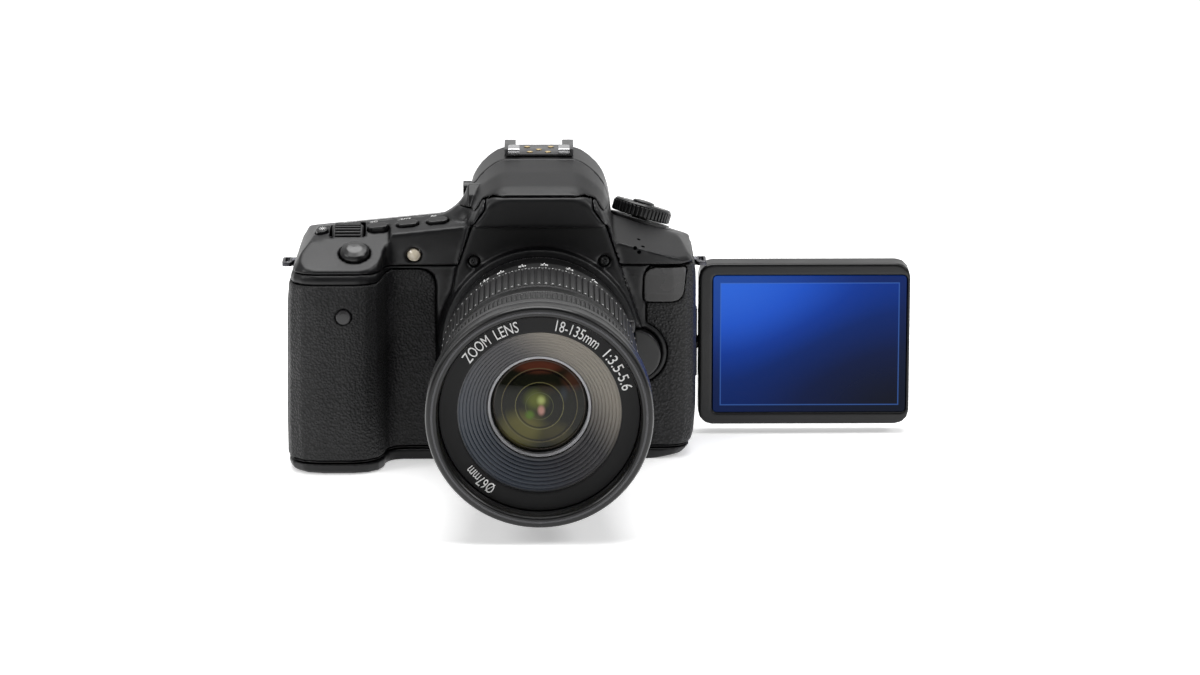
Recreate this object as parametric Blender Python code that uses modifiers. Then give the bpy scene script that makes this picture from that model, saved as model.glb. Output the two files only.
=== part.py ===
"""DSLR camera with a zoom lens and a swing-out screen, as an assembly of its pieces.

Frame: metres, +Z up. The lens looks along -Y and its axis is in the plane X = 0. The origin is on
the base, under the lens axis, in the plane of the image sensor. The grip is on the -X side.
"""
import math

import bmesh
import bpy
from mathutils import Matrix, Vector

MM = 0.001

# Fits
GAP = 0.3 * MM              # between pieces that touch
RUNNING_GAP = 0.35 * MM     # round a piece that moves
WALL = 2.2 * MM             # moulded covers
RUBBER = 1.2 * MM           # skin of the rubbers and the badge

# Body
AXIS_Z = 43.5 * MM          # lens axis above the base
FLANGE_Y = -44.0 * MM       # face of the lens mount
GRIP_SIDE = -88.7 * MM
HINGE_SIDE = 55.3 * MM
GRIP_FRONT = -53.6 * MM
FACE_FRONT = -31.5 * MM
BODY_BACK = 16.0 * MM
GRIP_INNER = -55.5 * MM     # where the grip ends and the finger recess starts
BASE_SEAM = 4.0 * MM
TOP_SEAM = 71.0 * MM
SIDE_SEAM_Y = -8.0 * MM
SHOULDER_TILT = math.radians(5.56)      # grip-side top plate, rising towards the prism
DIAL_TILT = math.radians(16.5)          # other shoulder, falling away from the prism
TRIGGER_TILT = math.radians(28.0)       # slope that carries the shutter button
DECK_FALL = math.radians(10.5)          # top plates fall towards the back behind a crest
RIDGE_FALL = math.radians(14.0)         # and towards the lens ahead of it
CREST_Y = -25.0 * MM
DIAL_FALL = math.radians(9.0)
DIAL_RIDGE_FALL = math.radians(12.0)
DIAL_CREST = 12.2 * MM                  # crest ahead of the centre of the mode dial

# Prism hump
HUMP_TOP = 104.6 * MM
HUMP_FRONT = -44.0 * MM
HUMP_BACK = 18.0 * MM
LID_BACK = -14.5 * MM
LID_SEAM_MID = 97.0 * MM
LID_SEAM_SIDE = 91.0 * MM
LID_WALL = 1.8 * MM
SHOE_LENGTH = 18.0 * MM
SHOE_WIDTH = 24.4 * MM

# Lens
LENS_FRONT = -145.0 * MM
FRONT_RADIUS = 37.7 * MM
FILTER_RADIUS = 33.5 * MM
REAR_BARREL_RADIUS = 32.4 * MM
REAR_BARREL_FRONT = -58.0 * MM
ZOOM_RING_FRONT = -98.0 * MM
ZOOM_RING_RADIUS = 33.9 * MM
FOCUS_RING_BACK = -112.0 * MM
FOCUS_RING_RADIUS = 35.7 * MM
FRONT_RING_BACK = -131.0 * MM
CORE_RADIUS = 31.4 * MM
CORE_WALL = 1.4 * MM
INNER_WALL = 1.6 * MM
NAME_RING_DEPTH = 6.5 * MM
NAME_RING_INNER = 27.2 * MM
GLASS_RADIUS = 16.9 * MM
GLASS_DEPTH = 16.0 * MM
THROAT_RADIUS = 27.0 * MM
MOUNT_RING_RADIUS = 32.0 * MM
LENS_SEGMENTS = 40

# Screen
HINGE_X = 52.0 * MM
HINGE_Y = 10.0 * MM
SCREEN_GAP = 5.0 * MM       # hinge axis to the near edge of the screen
SCREEN_WIDTH = 76.0 * MM
SCREEN_HEIGHT = 59.2 * MM
SCREEN_THICK = 10.0 * MM
SCREEN_MID_Z = 33.3 * MM
SCREEN_MID_Y = 8.0 * MM
ARM_HEIGHT = 26.8 * MM
TILT_PIN_RADIUS = 2.0 * MM
RECESS_EDGE = 0.7 * MM      # room round the folded screen
GLASS_THICK = 1.2 * MM

# Controls
SHUTTER_RADIUS = 5.1 * MM
MAIN_DIAL_RADIUS = 7.5 * MM
MAIN_DIAL_WIDTH = 11.0 * MM
MODE_DIAL_RADIUS = 10.6 * MM
MODE_DIAL_HEIGHT = 6.4 * MM
QUICK_DIAL_RADIUS = 15.0 * MM
RELEASE_RADIUS = 9.0 * MM
RELEASE_TRAVEL = 1.6 * MM
BUTTON_TRAVEL = 0.8 * MM

# Inside
MIRROR_LENGTH = 28.0 * MM
MIRROR_WIDTH = 30.0 * MM
MIRROR_PIVOT = Vector((0.0, -9.0 * MM, 58.0 * MM))
BOX_INSIDE_X = 17.5 * MM
BOX_WALL = 2.2 * MM
BOX_LOW = 27.0 * MM
BOX_HIGH = 61.0 * MM
BATTERY = Vector((20.0, 35.5, 56.0)) * MM

ARC_STEPS = 3
BIG = 0.3

COLOURS = {
    "shell": ((0.030, 0.030, 0.033), 0.42, 0.0),
    "rubber": ((0.016, 0.016, 0.017), 0.72, 0.0),
    "gloss": ((0.012, 0.012, 0.013), 0.16, 0.0),
    "metal": ((0.60, 0.60, 0.60), 0.28, 1.0),
    "badge": ((0.070, 0.068, 0.066), 0.30, 0.2),
    "lamp": ((0.72, 0.66, 0.52), 0.30, 0.0),
    "glass": ((0.030, 0.040, 0.025), 0.05, 0.0),
    "screen": ((0.010, 0.060, 0.230), 0.12, 0.0),
    "board": ((0.020, 0.110, 0.050), 0.50, 0.0),
    "mirror": ((0.850, 0.850, 0.870), 0.04, 1.0),
}
PLANES = {
    "XY": Matrix.Identity(4),
    "XZ": Matrix.Rotation(math.radians(90), 4, "X"),
    "YZ": Matrix(((0, 0, 1, 0), (1, 0, 0, 0), (0, 1, 0, 0), (0, 0, 0, 1))),
}
# Height, how far the grip side and the hinge side draw in, how far the grip front draws back,
# and how far the face beside the mount stands forward.
LEVELS = [
    (0.0, 2.6, 10.0, 3.2, 0.0),
    (1.2, 1.1, 4.6, 1.4, 0.0),
    (3.3, 0.5, 2.5, 0.7, 0.0),
    (8.0, 0.2, 0.8, 0.3, 0.0),
    (18.0, 0.0, 0.0, 0.0, 0.0),
    (60.0, 0.6, 0.0, 0.4, 0.4),
    (67.0, 1.4, 0.2, 1.4, 2.0),
    (72.0, 2.8, 1.4, 2.8, 4.7),
    (77.0, 5.8, 5.6, 5.8, 5.7),
    (81.0, 9.6, 10.0, 8.8, 5.6),
    (92.0, 17.0, 20.0, 9.5, 4.4),
]
CORNER_BACK = 7.0 * MM
CORNER_GRIP = 12.0 * MM
CORNER_RECESS = 7.0 * MM
CORNER_FACE = 8.0 * MM
# Y, height of the top, width factor, for sections of the prism hump.
HUMP_SECTIONS = [
    (-44.0, 95.8, 0.86),
    (-42.8, 97.6, 0.91),
    (-38.0, 99.7, 0.96),
    (-28.0, 102.4, 1.0),
    (-16.0, 104.3, 1.0),
    (-12.0, 104.6, 1.0),
    (9.0, 104.6, 1.0),
    (14.0, 101.0, 0.97),
    (18.0, 95.0, 0.90),
]
HUMP_HALF = [(26.0, 70.0), (25.4, 86.0), (24.4, 91.5), (22.9, 96.0), (20.8, 99.0), (18.0, 101.6),
             (15.2, 103.6), (12.6, 104.6)]
HUMP_FOOT = 86.0 * MM
HUMP_SIDE = 24.8 * MM
# Y and size of the sweep up the hump's flank, then its outline as distances out and up.
FLARE_SECTIONS = [(-32.6, 0.35), (-30.0, 0.8), (-26.0, 1.0), (-14.0, 1.0), (-5.0, 1.0), (0.6, 0.8),
                  (4.8, 0.35)]
FLARE_CURVE = [(-4.0, -3.0), (9.5, -3.0), (9.5, -0.9), (6.2, 0.9), (3.4, 3.2), (1.3, 6.4), (0.0, 10.2),
               (-4.0, 10.2)]
SHOULDER_POINT = Vector((-75.6 * MM, CREST_Y, 83.1 * MM))
DIAL_POINT = Vector((35.4, -3.0, 80.0)) * MM
TRIGGER_POINT = Vector((-64.2, -42.0, 77.0)) * MM
RELEASE_X = 33.6 * MM
RELEASE_Z = 38.6 * MM
THUMB_BOX = ((-84.0 * MM, BODY_BACK - 6.0 * MM, 44.0 * MM), (-64.0 * MM, BIG, 68.0 * MM))
TRIGGER_NORMAL = Vector((0, -math.sin(TRIGGER_TILT), math.cos(TRIGGER_TILT)))
MAIN_DIAL_AT = Vector((-66.9, -27.0, 76.9)) * MM
TOP_BUTTONS = {"af_button": -35.5 * MM, "drive_button": -46.0 * MM, "iso_button": -56.5 * MM}
TOP_BUTTON_Y = -30.0 * MM
LIGHT_AT = Vector((-76.0, -29.0, 0.0)) * MM
QUICK_DIAL_AT = Vector((-50.0 * MM, BODY_BACK, 30.0 * MM))
BACK_BUTTONS = {
    "menu_button": (46.0 * MM, 67.4 * MM),
    "live_view_button": (-32.0 * MM, 75.4 * MM),
}
BACK_BUTTON_RADIUS = 3.0 * MM
FLASH_BUTTON_AT = Vector((30.0, -35.7, 64.5)) * MM
FLASH_BUTTON_NORMAL = Vector((0.94, 0.0, 0.34)).normalized()
DEPTH_AT = Vector((-27.0 * MM, FLANGE_Y + 5.5 * MM, 14.0 * MM))
FRONT_SCREWS = {"front_screw_left": -22.7 * MM, "front_screw_right": 22.7 * MM}
SCREW_Z = 73.0 * MM
LAMP_AT = Vector((-43.7, -36.5, 75.0)) * MM
WINDOW_AT = Vector((-67.9, -53.6, 56.6)) * MM
LUG_Z = 65.2 * MM
EYEPIECE_Z = 84.5 * MM
TERMINAL_FRONT = SIDE_SEAM_Y + 0.6 * MM
TERMINAL_BACK = 2.4 * MM
LUG_Y = -2.0 * MM
RELEASE_GUARD = MOUNT_RING_RADIUS + 1.0 * MM
RELEASE_FACE_Y = FACE_FRONT - 4.0 * MM
DIOPTRE_X = -24.5 * MM
DIOPTRE_Y = 9.0 * MM
DIOPTRE_Z = 89.0 * MM
CARD_FRONT = SIDE_SEAM_Y + 0.8 * MM
CARD_BACK = 8.5 * MM
TRIPOD_Y = -18.0 * MM
FLASH_LENGTH = 4.2 * MM
FLASH_RADIUS = 1.9 * MM
LID_PIVOT = Vector((0.0, LID_BACK - 0.1 * MM, 104.5 * MM))
BATTERY_HINGE = Vector((-61.0 * MM, -28.0 * MM, 0.2 * MM))
CARD_HINGE = Vector((GRIP_SIDE, CARD_BACK, 38.0 * MM))
TERMINAL_HINGE = Vector((HINGE_SIDE, TERMINAL_FRONT, 37.0 * MM))
INNER_BACK = -64.0 * MM
SWITCHES = {"focus_switch": 53.0 * MM, "stabiliser_switch": 36.0 * MM}
SWITCH_Y = -51.5 * MM


# ---------------------------------------------------------------- scene and materials


def clear_scene():
    for obj in list(bpy.data.objects):
        bpy.data.objects.remove(obj)


def make_collection(name):
    collection = bpy.data.collections.new(name)
    bpy.context.scene.collection.children.link(collection)
    return collection


clear_scene()
PARTS = make_collection("dslr_camera")
TOOLS = make_collection("cutters")


def material(name):
    found = bpy.data.materials.get(name)
    if found:
        return found
    rgb, roughness, metallic = COLOURS[name]
    made = bpy.data.materials.new(name)
    made.use_nodes = True
    shader = made.node_tree.nodes["Principled BSDF"]
    shader.inputs["Base Color"].default_value = (*rgb, 1.0)
    shader.inputs["Roughness"].default_value = roughness
    shader.inputs["Metallic"].default_value = metallic
    made.diffuse_color = (*rgb, 1.0)
    return made


def add_object(name, mesh, collection):
    obj = bpy.data.objects.new(name, mesh)
    collection.objects.link(obj)
    if collection is TOOLS:
        obj.hide_render = True
        obj.display_type = "WIRE"
    return obj


def from_bmesh(name, bm, collection=None):
    mesh = bpy.data.meshes.new(name)
    bm.to_mesh(mesh)
    bm.free()
    return add_object(name, mesh, collection or TOOLS)


def evaluated(obj):
    bpy.context.view_layer.update()
    graph = bpy.context.evaluated_depsgraph_get()
    mesh = bpy.data.meshes.new_from_object(obj.evaluated_get(graph))
    mesh.transform(obj.matrix_world)
    return mesh


def tidy(mesh):
    """Merge flat neighbours that Booleans have split."""
    bm = bmesh.new()
    bm.from_mesh(mesh)
    bmesh.ops.dissolve_limit(bm, angle_limit=math.radians(0.4), verts=bm.verts, edges=bm.edges)
    bm.to_mesh(mesh)
    bm.free()


def piece(name, source, colour, pivot=None, smooth=False):
    """Turn a working solid into a named piece of the camera, with its origin on its joint."""
    mesh = evaluated(source)
    mesh.name = name
    bpy.data.objects.remove(source)
    tidy(mesh)
    obj = add_object(name, mesh, PARTS)
    if pivot is not None:
        mesh.transform(Matrix.Translation(-Vector(pivot)))
        obj.location = pivot
    mesh.materials.clear()
    mesh.materials.append(material(colour))
    if smooth:
        mesh.shade_smooth()
        mesh.set_sharp_from_angle(angle=math.radians(35))
    return obj


def copy_of(source, name="work"):
    return add_object(name, evaluated(source), TOOLS)


# ---------------------------------------------------------------- solids

def box(lo, hi, bevel=0.0):
    lo, hi = Vector(lo), Vector(hi)
    bm = bmesh.new()
    size = Matrix.Diagonal((*(hi - lo), 1.0))
    bmesh.ops.create_cube(bm, size=1.0, matrix=Matrix.Translation((lo + hi) / 2) @ size)
    obj = from_bmesh("box", bm)
    if bevel:
        soften(obj, bevel)
    return obj


def soften(obj, width, segments=2, angle=35):
    rounding = obj.modifiers.new("rounding", "BEVEL")
    rounding.width = width
    rounding.segments = segments
    rounding.limit_method = "ANGLE"
    rounding.angle_limit = math.radians(angle)
    return obj


def facing(point, normal):
    """Matrix whose local Z is the normal and whose origin is the point."""
    turn = Vector((0, 0, 1)).rotation_difference(Vector(normal).normalized())
    return Matrix.Translation(point) @ turn.to_matrix().to_4x4()


def rod(start, normal, radius, length, segments=24, far_radius=None):
    """Cylinder or cone from a point, along a direction."""
    bm = bmesh.new()
    place = facing(start, normal) @ Matrix.Translation((0, 0, length / 2))
    bmesh.ops.create_cone(bm, cap_ends=True, segments=segments, radius1=radius,
                          radius2=radius if far_radius is None else far_radius,
                          depth=length, matrix=place)
    return from_bmesh("rod", bm)


def turned(profile, place, segments=LENS_SEGMENTS, closed=True):
    """Turn a profile of (radius, height) about the local Z of a matrix."""
    mesh = bpy.data.meshes.new("turned")
    points = [(radius, 0.0, height) for radius, height in profile]
    edges = [(i, i + 1) for i in range(len(points) - 1)]
    if closed:
        edges.append((len(points) - 1, 0))
    mesh.from_pydata(points, edges, [])
    obj = add_object("turned", mesh, TOOLS)
    obj.matrix_world = place
    screw = obj.modifiers.new("turn", "SCREW")
    screw.steps = screw.render_steps = segments
    screw.use_merge_vertices = True
    screw.merge_threshold = 0.00001
    screw.use_normal_calculate = False
    return obj


def lens_turned(profile, segments=LENS_SEGMENTS):
    """Turned about the lens axis from (radius, y) points, written from back to front."""
    place = Matrix.Translation((0, 0, AXIS_Z)) @ Matrix.Rotation(math.radians(90), 4, "X")
    flipped = [(radius, -y) for radius, y in profile]
    return turned(list(reversed(flipped)), place, segments)


def prism(outline, low, high, plane="XZ", place=None):
    """Solid between two levels, from a flat outline. The levels lie on the plane's normal axis."""
    data = bpy.data.curves.new("outline", "CURVE")
    data.dimensions = "2D"
    data.fill_mode = "BOTH"
    data.extrude = (high - low) / 2
    spline = data.splines.new("POLY")
    spline.points.add(len(outline) - 1)
    spline.use_cyclic_u = True
    for point, (a, b) in zip(spline.points, outline):
        point.co = (a, b, 0.0, 1.0)
    obj = add_object("outline", data, TOOLS)
    middle = (low + high) / 2
    along = {"XY": (0, 0, middle), "XZ": (0, middle, 0), "YZ": (middle, 0, 0)}[plane]
    obj.matrix_world = (place or Matrix.Identity(4)) @ Matrix.Translation(along) @ PLANES[plane]
    mesh = evaluated(obj)
    bpy.data.objects.remove(obj)
    bm = bmesh.new()
    bm.from_mesh(mesh)
    bmesh.ops.remove_doubles(bm, verts=bm.verts, dist=0.000001)
    bmesh.ops.recalc_face_normals(bm, faces=bm.faces)
    return from_bmesh("prism", bm)


def rounded(corners, steps=ARC_STEPS):
    """Outline through corners (x, y, radius), anticlockwise, each corner an arc."""
    points = []
    for index, (x, y, radius) in enumerate(corners):
        here = Vector((x, y))
        before = Vector(corners[index - 1][:2]) - here
        after = Vector(corners[(index + 1) % len(corners)][:2]) - here
        before.normalize()
        after.normalize()
        half = before.angle(after) / 2
        reach = radius / math.tan(half)
        centre = here + (before + after).normalized() * (radius / math.sin(half))
        first = here + before * reach - centre
        last = here + after * reach - centre
        sweep = first.angle_signed(last)
        for step in range(steps + 1):
            turn = -sweep * step / steps
            points.append(tuple(centre + Matrix.Rotation(turn, 2) @ first))
    return points


def inset_corners(corners, distance):
    """Move every side of an anticlockwise outline inwards."""
    moved = []
    for index, (x, y, radius) in enumerate(corners):
        here = Vector((x, y))
        before = (here - Vector(corners[index - 1][:2])).normalized()
        after = (Vector(corners[(index + 1) % len(corners)][:2]) - here).normalized()
        inward_a = Vector((-before.y, before.x))
        inward_b = Vector((-after.y, after.x))
        spread = 1 + inward_a.dot(inward_b)
        shift = (inward_a + inward_b) * (distance / spread)
        convex = before.cross(after) > 0
        new_radius = max(radius - distance, 0.0008) if convex else radius + distance
        moved.append((x + shift.x, y + shift.y, new_radius))
    return moved


def loft(rows, closed_ends=True):
    """Skin between rows of points that all hold the same number of points."""
    bm = bmesh.new()
    rings = [[bm.verts.new(point) for point in row] for row in rows]
    for low, high in zip(rings, rings[1:]):
        for i in range(len(low)):
            j = (i + 1) % len(low)
            bm.faces.new((low[i], low[j], high[j], high[i]))
    if closed_ends:
        bm.faces.new(list(reversed(rings[0])))
        bm.faces.new(rings[-1])
    bmesh.ops.recalc_face_normals(bm, faces=bm.faces)
    bmesh.ops.triangulate(bm, faces=bm.faces)
    return from_bmesh("loft", bm)


def combine(base, tool, operation):
    """Add, cut or intersect a solid, and use up the tool."""
    step = base.modifiers.new(operation.lower(), "BOOLEAN")
    step.operation = operation
    step.object = tool
    step.solver = "EXACT"
    mesh = evaluated(base)
    matrix_free = add_object("work", mesh, TOOLS)
    bpy.data.objects.remove(base)
    bpy.data.objects.remove(tool)
    return matrix_free


def join(base, *tools):
    for tool in tools:
        base = combine(base, tool, "UNION")
    return base


def cut(base, *tools):
    for tool in tools:
        base = combine(base, tool, "DIFFERENCE")
    return base


def keep(base, *tools):
    for tool in tools:
        base = combine(base, tool, "INTERSECT")
    return base


# ---------------------------------------------------------------- outer form of the body


def body_corners(level):
    height, grip_in, hinge_in, grip_back, face_out = (value * MM for value in level)
    left = GRIP_SIDE + grip_in
    right = HINGE_SIDE - hinge_in
    front = GRIP_FRONT + grip_back
    face = FACE_FRONT - face_out
    corner = min(CORNER_GRIP, (GRIP_INNER - left) * 0.42, (face - front) * 0.52)
    return height, [
        (left + 1.5 * MM, BODY_BACK, CORNER_BACK),
        (left, front, corner),
        (GRIP_INNER, front, corner),
        (GRIP_INNER + 2.0 * MM, face, min(CORNER_RECESS, corner * 0.6)),
        (right, face, CORNER_FACE),
        (right, BODY_BACK, CORNER_BACK),
    ]


def plane_cutter(point, turn, low=-BIG, high=BIG):
    """Box above a tilted plane through a point, between two X limits."""
    lo = (low - point[0], -BIG, 0.0)
    hi = (high - point[0], BIG, BIG)
    block = box(lo, hi)
    block.matrix_world = Matrix.Translation(point) @ turn
    return block


def tilted(roll, pitch):
    return Matrix.Rotation(roll, 4, "Y") @ Matrix.Rotation(pitch, 4, "X")


DECK_TURN = tilted(-SHOULDER_TILT, -DECK_FALL)
RIDGE_TURN = tilted(-SHOULDER_TILT, RIDGE_FALL)
DIAL_TURN = tilted(DIAL_TILT, -DIAL_FALL)
DIAL_RIDGE_TURN = tilted(DIAL_TILT, DIAL_RIDGE_FALL)


def hump(inset):
    rows = []
    for y, top, factor in HUMP_SECTIONS:
        stretch = (top * MM - HUMP_FOOT - inset) / (HUMP_TOP - HUMP_FOOT)
        half = []
        for x, z in HUMP_HALF:
            height = z * MM
            if height > HUMP_FOOT:
                height = HUMP_FOOT + (height - HUMP_FOOT) * stretch
            half.append(((x * MM - inset) * factor, height))
        outline = half + [(-x, z) for x, z in reversed(half)]
        share = (y * MM - HUMP_FRONT) / (HUMP_BACK - HUMP_FRONT)
        depth = HUMP_FRONT + inset + share * (HUMP_BACK - HUMP_FRONT - 2 * inset)
        rows.append([(x, depth, z) for x, z in outline])
    shape = loft(rows)
    under = box((-BIG, -BIG, 0.0), (BIG, FACE_FRONT - 3.0 * MM, HUMP_FOOT + inset * 0.5))
    return cut(shape, under)


def flare(inset):
    """Concave sweep from the grip-side deck up the flank of the hump."""
    rows = []
    for y, share in FLARE_SECTIONS:
        fall = math.tan(DECK_FALL if y * MM > CREST_Y else RIDGE_FALL) * abs(y * MM - CREST_Y)
        foot = SHOULDER_POINT.z + (-HUMP_SIDE - SHOULDER_POINT.x) * math.tan(SHOULDER_TILT) - fall
        row = []
        for out, up in FLARE_CURVE:
            x = -HUMP_SIDE - out * share * MM if out > 0 else -HUMP_SIDE - out * MM
            row.append((x + inset, y * MM + inset * (-1 if y > 0 else 1), foot + up * share * MM - inset))
        rows.append(row)
    return loft(rows)


def neck(inset):
    """Housing between the brow and the mount, wider towards the lens axis."""
    outline = [(-24.4, 88.0), (-28.8, 70.0), (-33.6, 46.0), (-33.6, 22.0), (-24.0, 9.0),
               (24.0, 9.0), (35.0, 22.0), (36.6, 46.0), (28.6, 70.0), (24.4, 88.0)]
    middle = Vector((0.0, 48.5 * MM))
    points = []
    for x, z in outline:
        point = Vector((x * MM, z * MM))
        points.append(tuple(point - (point - middle).normalized() * inset))
    return prism(points, FLANGE_Y + 5.5 * MM + inset, -20.0 * MM)


def body_form(inset, steps=ARC_STEPS):
    rows = []
    for level in LEVELS:
        height, corners = body_corners(level)
        height = inset + height * (1 - inset / (LEVELS[-1][0] * MM))
        outline = rounded(inset_corners(corners, inset), steps)
        rows.append([(x, y, height) for x, y in outline])
    shape = loft(rows)
    down = Vector((0, 0, -inset))
    shape = cut(
        shape,
        plane_cutter(SHOULDER_POINT + down, DECK_TURN),
        plane_cutter(SHOULDER_POINT + down, RIDGE_TURN),
        plane_cutter(DIAL_POINT + down, DIAL_TURN),
        plane_cutter(DIAL_POINT + DIAL_TURN @ Vector((0, -DIAL_CREST, 0)) + down, DIAL_RIDGE_TURN),
        plane_cutter(TRIGGER_POINT + down, Matrix.Rotation(TRIGGER_TILT, 4, "X"), high=-52.0 * MM),
    )
    boss_start = (0, FLANGE_Y + 12.0 * MM, AXIS_Z)
    boss = rod(boss_start, (0, -1, 0), 35.5 * MM - inset, 10.0 * MM - inset, 48,
               34.3 * MM - inset)
    return join(shape, hump(inset), flare(inset), neck(inset), boss)


OUTER = body_form(0.0)
RUBBER_BACK = body_form(RUBBER)
BED = body_form(RUBBER + GAP)
INNER = body_form(RUBBER + GAP + WALL, steps=2)


# ---------------------------------------------------------------- regions

def grip_region(grow=0.0):
    """Front and side of the grip, and the finger recess up to the mount housing."""
    low = 5.0 * MM - grow
    front = prism(rounded([
        (-96.0 * MM - grow, low, 0.001), (-36.3 * MM + grow, low, 0.001),
        (-36.3 * MM + grow, 69.6 * MM + grow, 6.0 * MM), (-52.0 * MM, 69.6 * MM + grow, 4.0 * MM),
        (-56.0 * MM, 67.4 * MM + grow, 4.0 * MM), (-96.0 * MM - grow, 67.4 * MM + grow, 0.001),
    ]), -70.0 * MM, -12.0 * MM + grow)
    housing = neck(-(GAP * 2) + grow)
    return cut(front, housing)


def badge_region(grow=0.0):
    return prism(rounded([
        (36.6 * MM - grow, 57.0 * MM - grow, 1.5 * MM), (50.5 * MM, 57.0 * MM - grow, 4.0 * MM),
        (51.6 * MM + grow, 69.9 * MM + grow, 1.0 * MM), (36.8 * MM - grow, 69.9 * MM + grow, 4.0 * MM),
    ]), -60.0 * MM, -14.0 * MM)


def side_region(grow=0.0, round_badge=True):
    low = 5.0 * MM - grow
    shape = prism(rounded([
        (37.6 * MM - grow, low, 0.001), (90.0 * MM, low, 0.001),
        (90.0 * MM, 70.4 * MM + grow, 0.001), (37.6 * MM - grow, 70.4 * MM + grow, 2.0 * MM),
    ]), -60.0 * MM, -12.0 * MM + grow)
    release = rod((RELEASE_X, 0, RELEASE_Z), (0, -1, 0), RELEASE_RADIUS + 2.6 * MM - grow, 80 * MM, 32)
    shape = cut(shape, release, neck(-(GAP * 2) + grow))
    return cut(shape, badge_region(GAP)) if round_badge else shape


def thumb_region(grow=0.0):
    (x0, y0, z0), (x1, y1, z1) = THUMB_BOX
    return prism(rounded([(x0 - grow, z0 - grow, 4 * MM), (x1 + grow, z0 - grow, 4 * MM),
                          (x1 + grow, z1 + grow, 4 * MM), (x0 - grow, z1 + grow, 4 * MM)]), y0, y1)


def skin(region):
    return keep(cut(copy_of(OUTER), copy_of(RUBBER_BACK)), region)


def bed(region):
    """Cutter that makes room under a skin."""
    return cut(region, copy_of(BED))


def panel_region(grow=0.0):
    """Front panel: the mount housing and the brow above it, up to the flash lid."""
    return prism([
        (-40.0 * MM - grow, 58.0 * MM), (-28.6 * MM - grow, TOP_SEAM - 1.0 * MM),
        (-23.2 * MM - grow, 86.0 * MM), (-18.6 * MM - grow, 92.4 * MM), (-18.0 * MM - grow, 104.0 * MM),
        (18.0 * MM + grow, 104.0 * MM), (18.6 * MM + grow, 92.4 * MM), (23.2 * MM + grow, 86.0 * MM),
        (28.4 * MM + grow, TOP_SEAM - 1.0 * MM), (40.0 * MM + grow, 58.0 * MM),
    ], -0.070, -26.0 * MM + grow)


def lid_region(grow=0.0):
    """Everything above the arched seam of the flash lid, ahead of the hot shoe."""
    mid, side = LID_SEAM_MID - grow, LID_SEAM_SIDE - grow
    return prism([
        (-34.0 * MM, side), (-22.5 * MM, side), (-19.6 * MM, mid - 1.5 * MM), (-16.0 * MM, mid),
        (16.0 * MM, mid), (19.6 * MM, mid - 1.5 * MM), (22.5 * MM, side), (34.0 * MM, side),
        (34.0 * MM, 0.120), (-34.0 * MM, 0.120),
    ], -0.060, LID_BACK + grow)


# ---------------------------------------------------------------- controls: where they are

RIDGE_NORMAL = RIDGE_TURN @ Vector((0, 0, 1))
DIAL_NORMAL = DIAL_TURN @ Vector((0, 0, 1))


def on_plane(turn, x, y):
    """Point of a top plate at an X and Y."""
    normal = turn @ Vector((0, 0, 1))
    step = Vector((x, y, 0)) - SHOULDER_POINT
    return Vector((x, y, -(normal.x * step.x + normal.y * step.y) / normal.z + SHOULDER_POINT.z))


def on_ridge(x, y, lift=0.0):
    return on_plane(RIDGE_TURN, x, y) + RIDGE_NORMAL * lift


def ridge_matrix(x, y):
    return Matrix.Translation(on_ridge(x, y)) @ RIDGE_TURN


def rectangle(low, high, radius):
    """Rounded rectangle between two corners."""
    return rounded([(low[0], low[1], radius), (high[0], low[1], radius), (high[0], high[1], radius),
                    (low[0], high[1], radius)])


def oval(length, width, steps=3):
    radius = width / 2
    half = length / 2
    return rounded([(-half, -radius, radius * 0.98), (half, -radius, radius * 0.98),
                    (half, radius, radius * 0.98), (-half, radius, radius * 0.98)], steps)


def capped(place, radius, height, dome, segments=18):
    """Round button: a stem with a domed top, as one turned solid."""
    profile = [(0.0, height)]
    for step in range(1, 3):
        angle = math.radians(30 * step)
        profile.append((radius * math.sin(angle), height - dome * (1 - math.cos(angle))))
    profile += [(radius, height - dome), (radius, 0.0), (0.0, 0.0)]
    return turned(profile, place, segments, closed=False)


# ---------------------------------------------------------------- covers

def make_covers():
    shell = cut(copy_of(OUTER), copy_of(INNER))
    side = join(side_region(GAP, round_badge=False), badge_region(GAP))
    shell = cut(shell, bed(grip_region(GAP)), bed(side), bed(thumb_region(GAP)))

    below = box((-BIG, -BIG, -0.01), (BIG, BIG, BASE_SEAM - GAP / 2))
    middle = box((-BIG, -BIG, BASE_SEAM + GAP / 2), (BIG, SIDE_SEAM_Y - GAP / 2, TOP_SEAM - GAP / 2))
    behind = box((-BIG, SIDE_SEAM_Y + GAP / 2, BASE_SEAM + GAP / 2), (BIG, BIG, TOP_SEAM - GAP / 2))
    above = box((-BIG, -BIG, TOP_SEAM + GAP / 2), (BIG, BIG, BIG))
    above = cut(above, panel_region(GAP), lid_region(GAP))
    middle = cut(join(middle, panel_region()), lid_region(GAP))

    bottom = keep(copy_of(shell), below)
    front = keep(copy_of(shell), middle)
    rear = keep(copy_of(shell), behind)
    top = keep(shell, above)
    return bottom, front, rear, top


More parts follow.
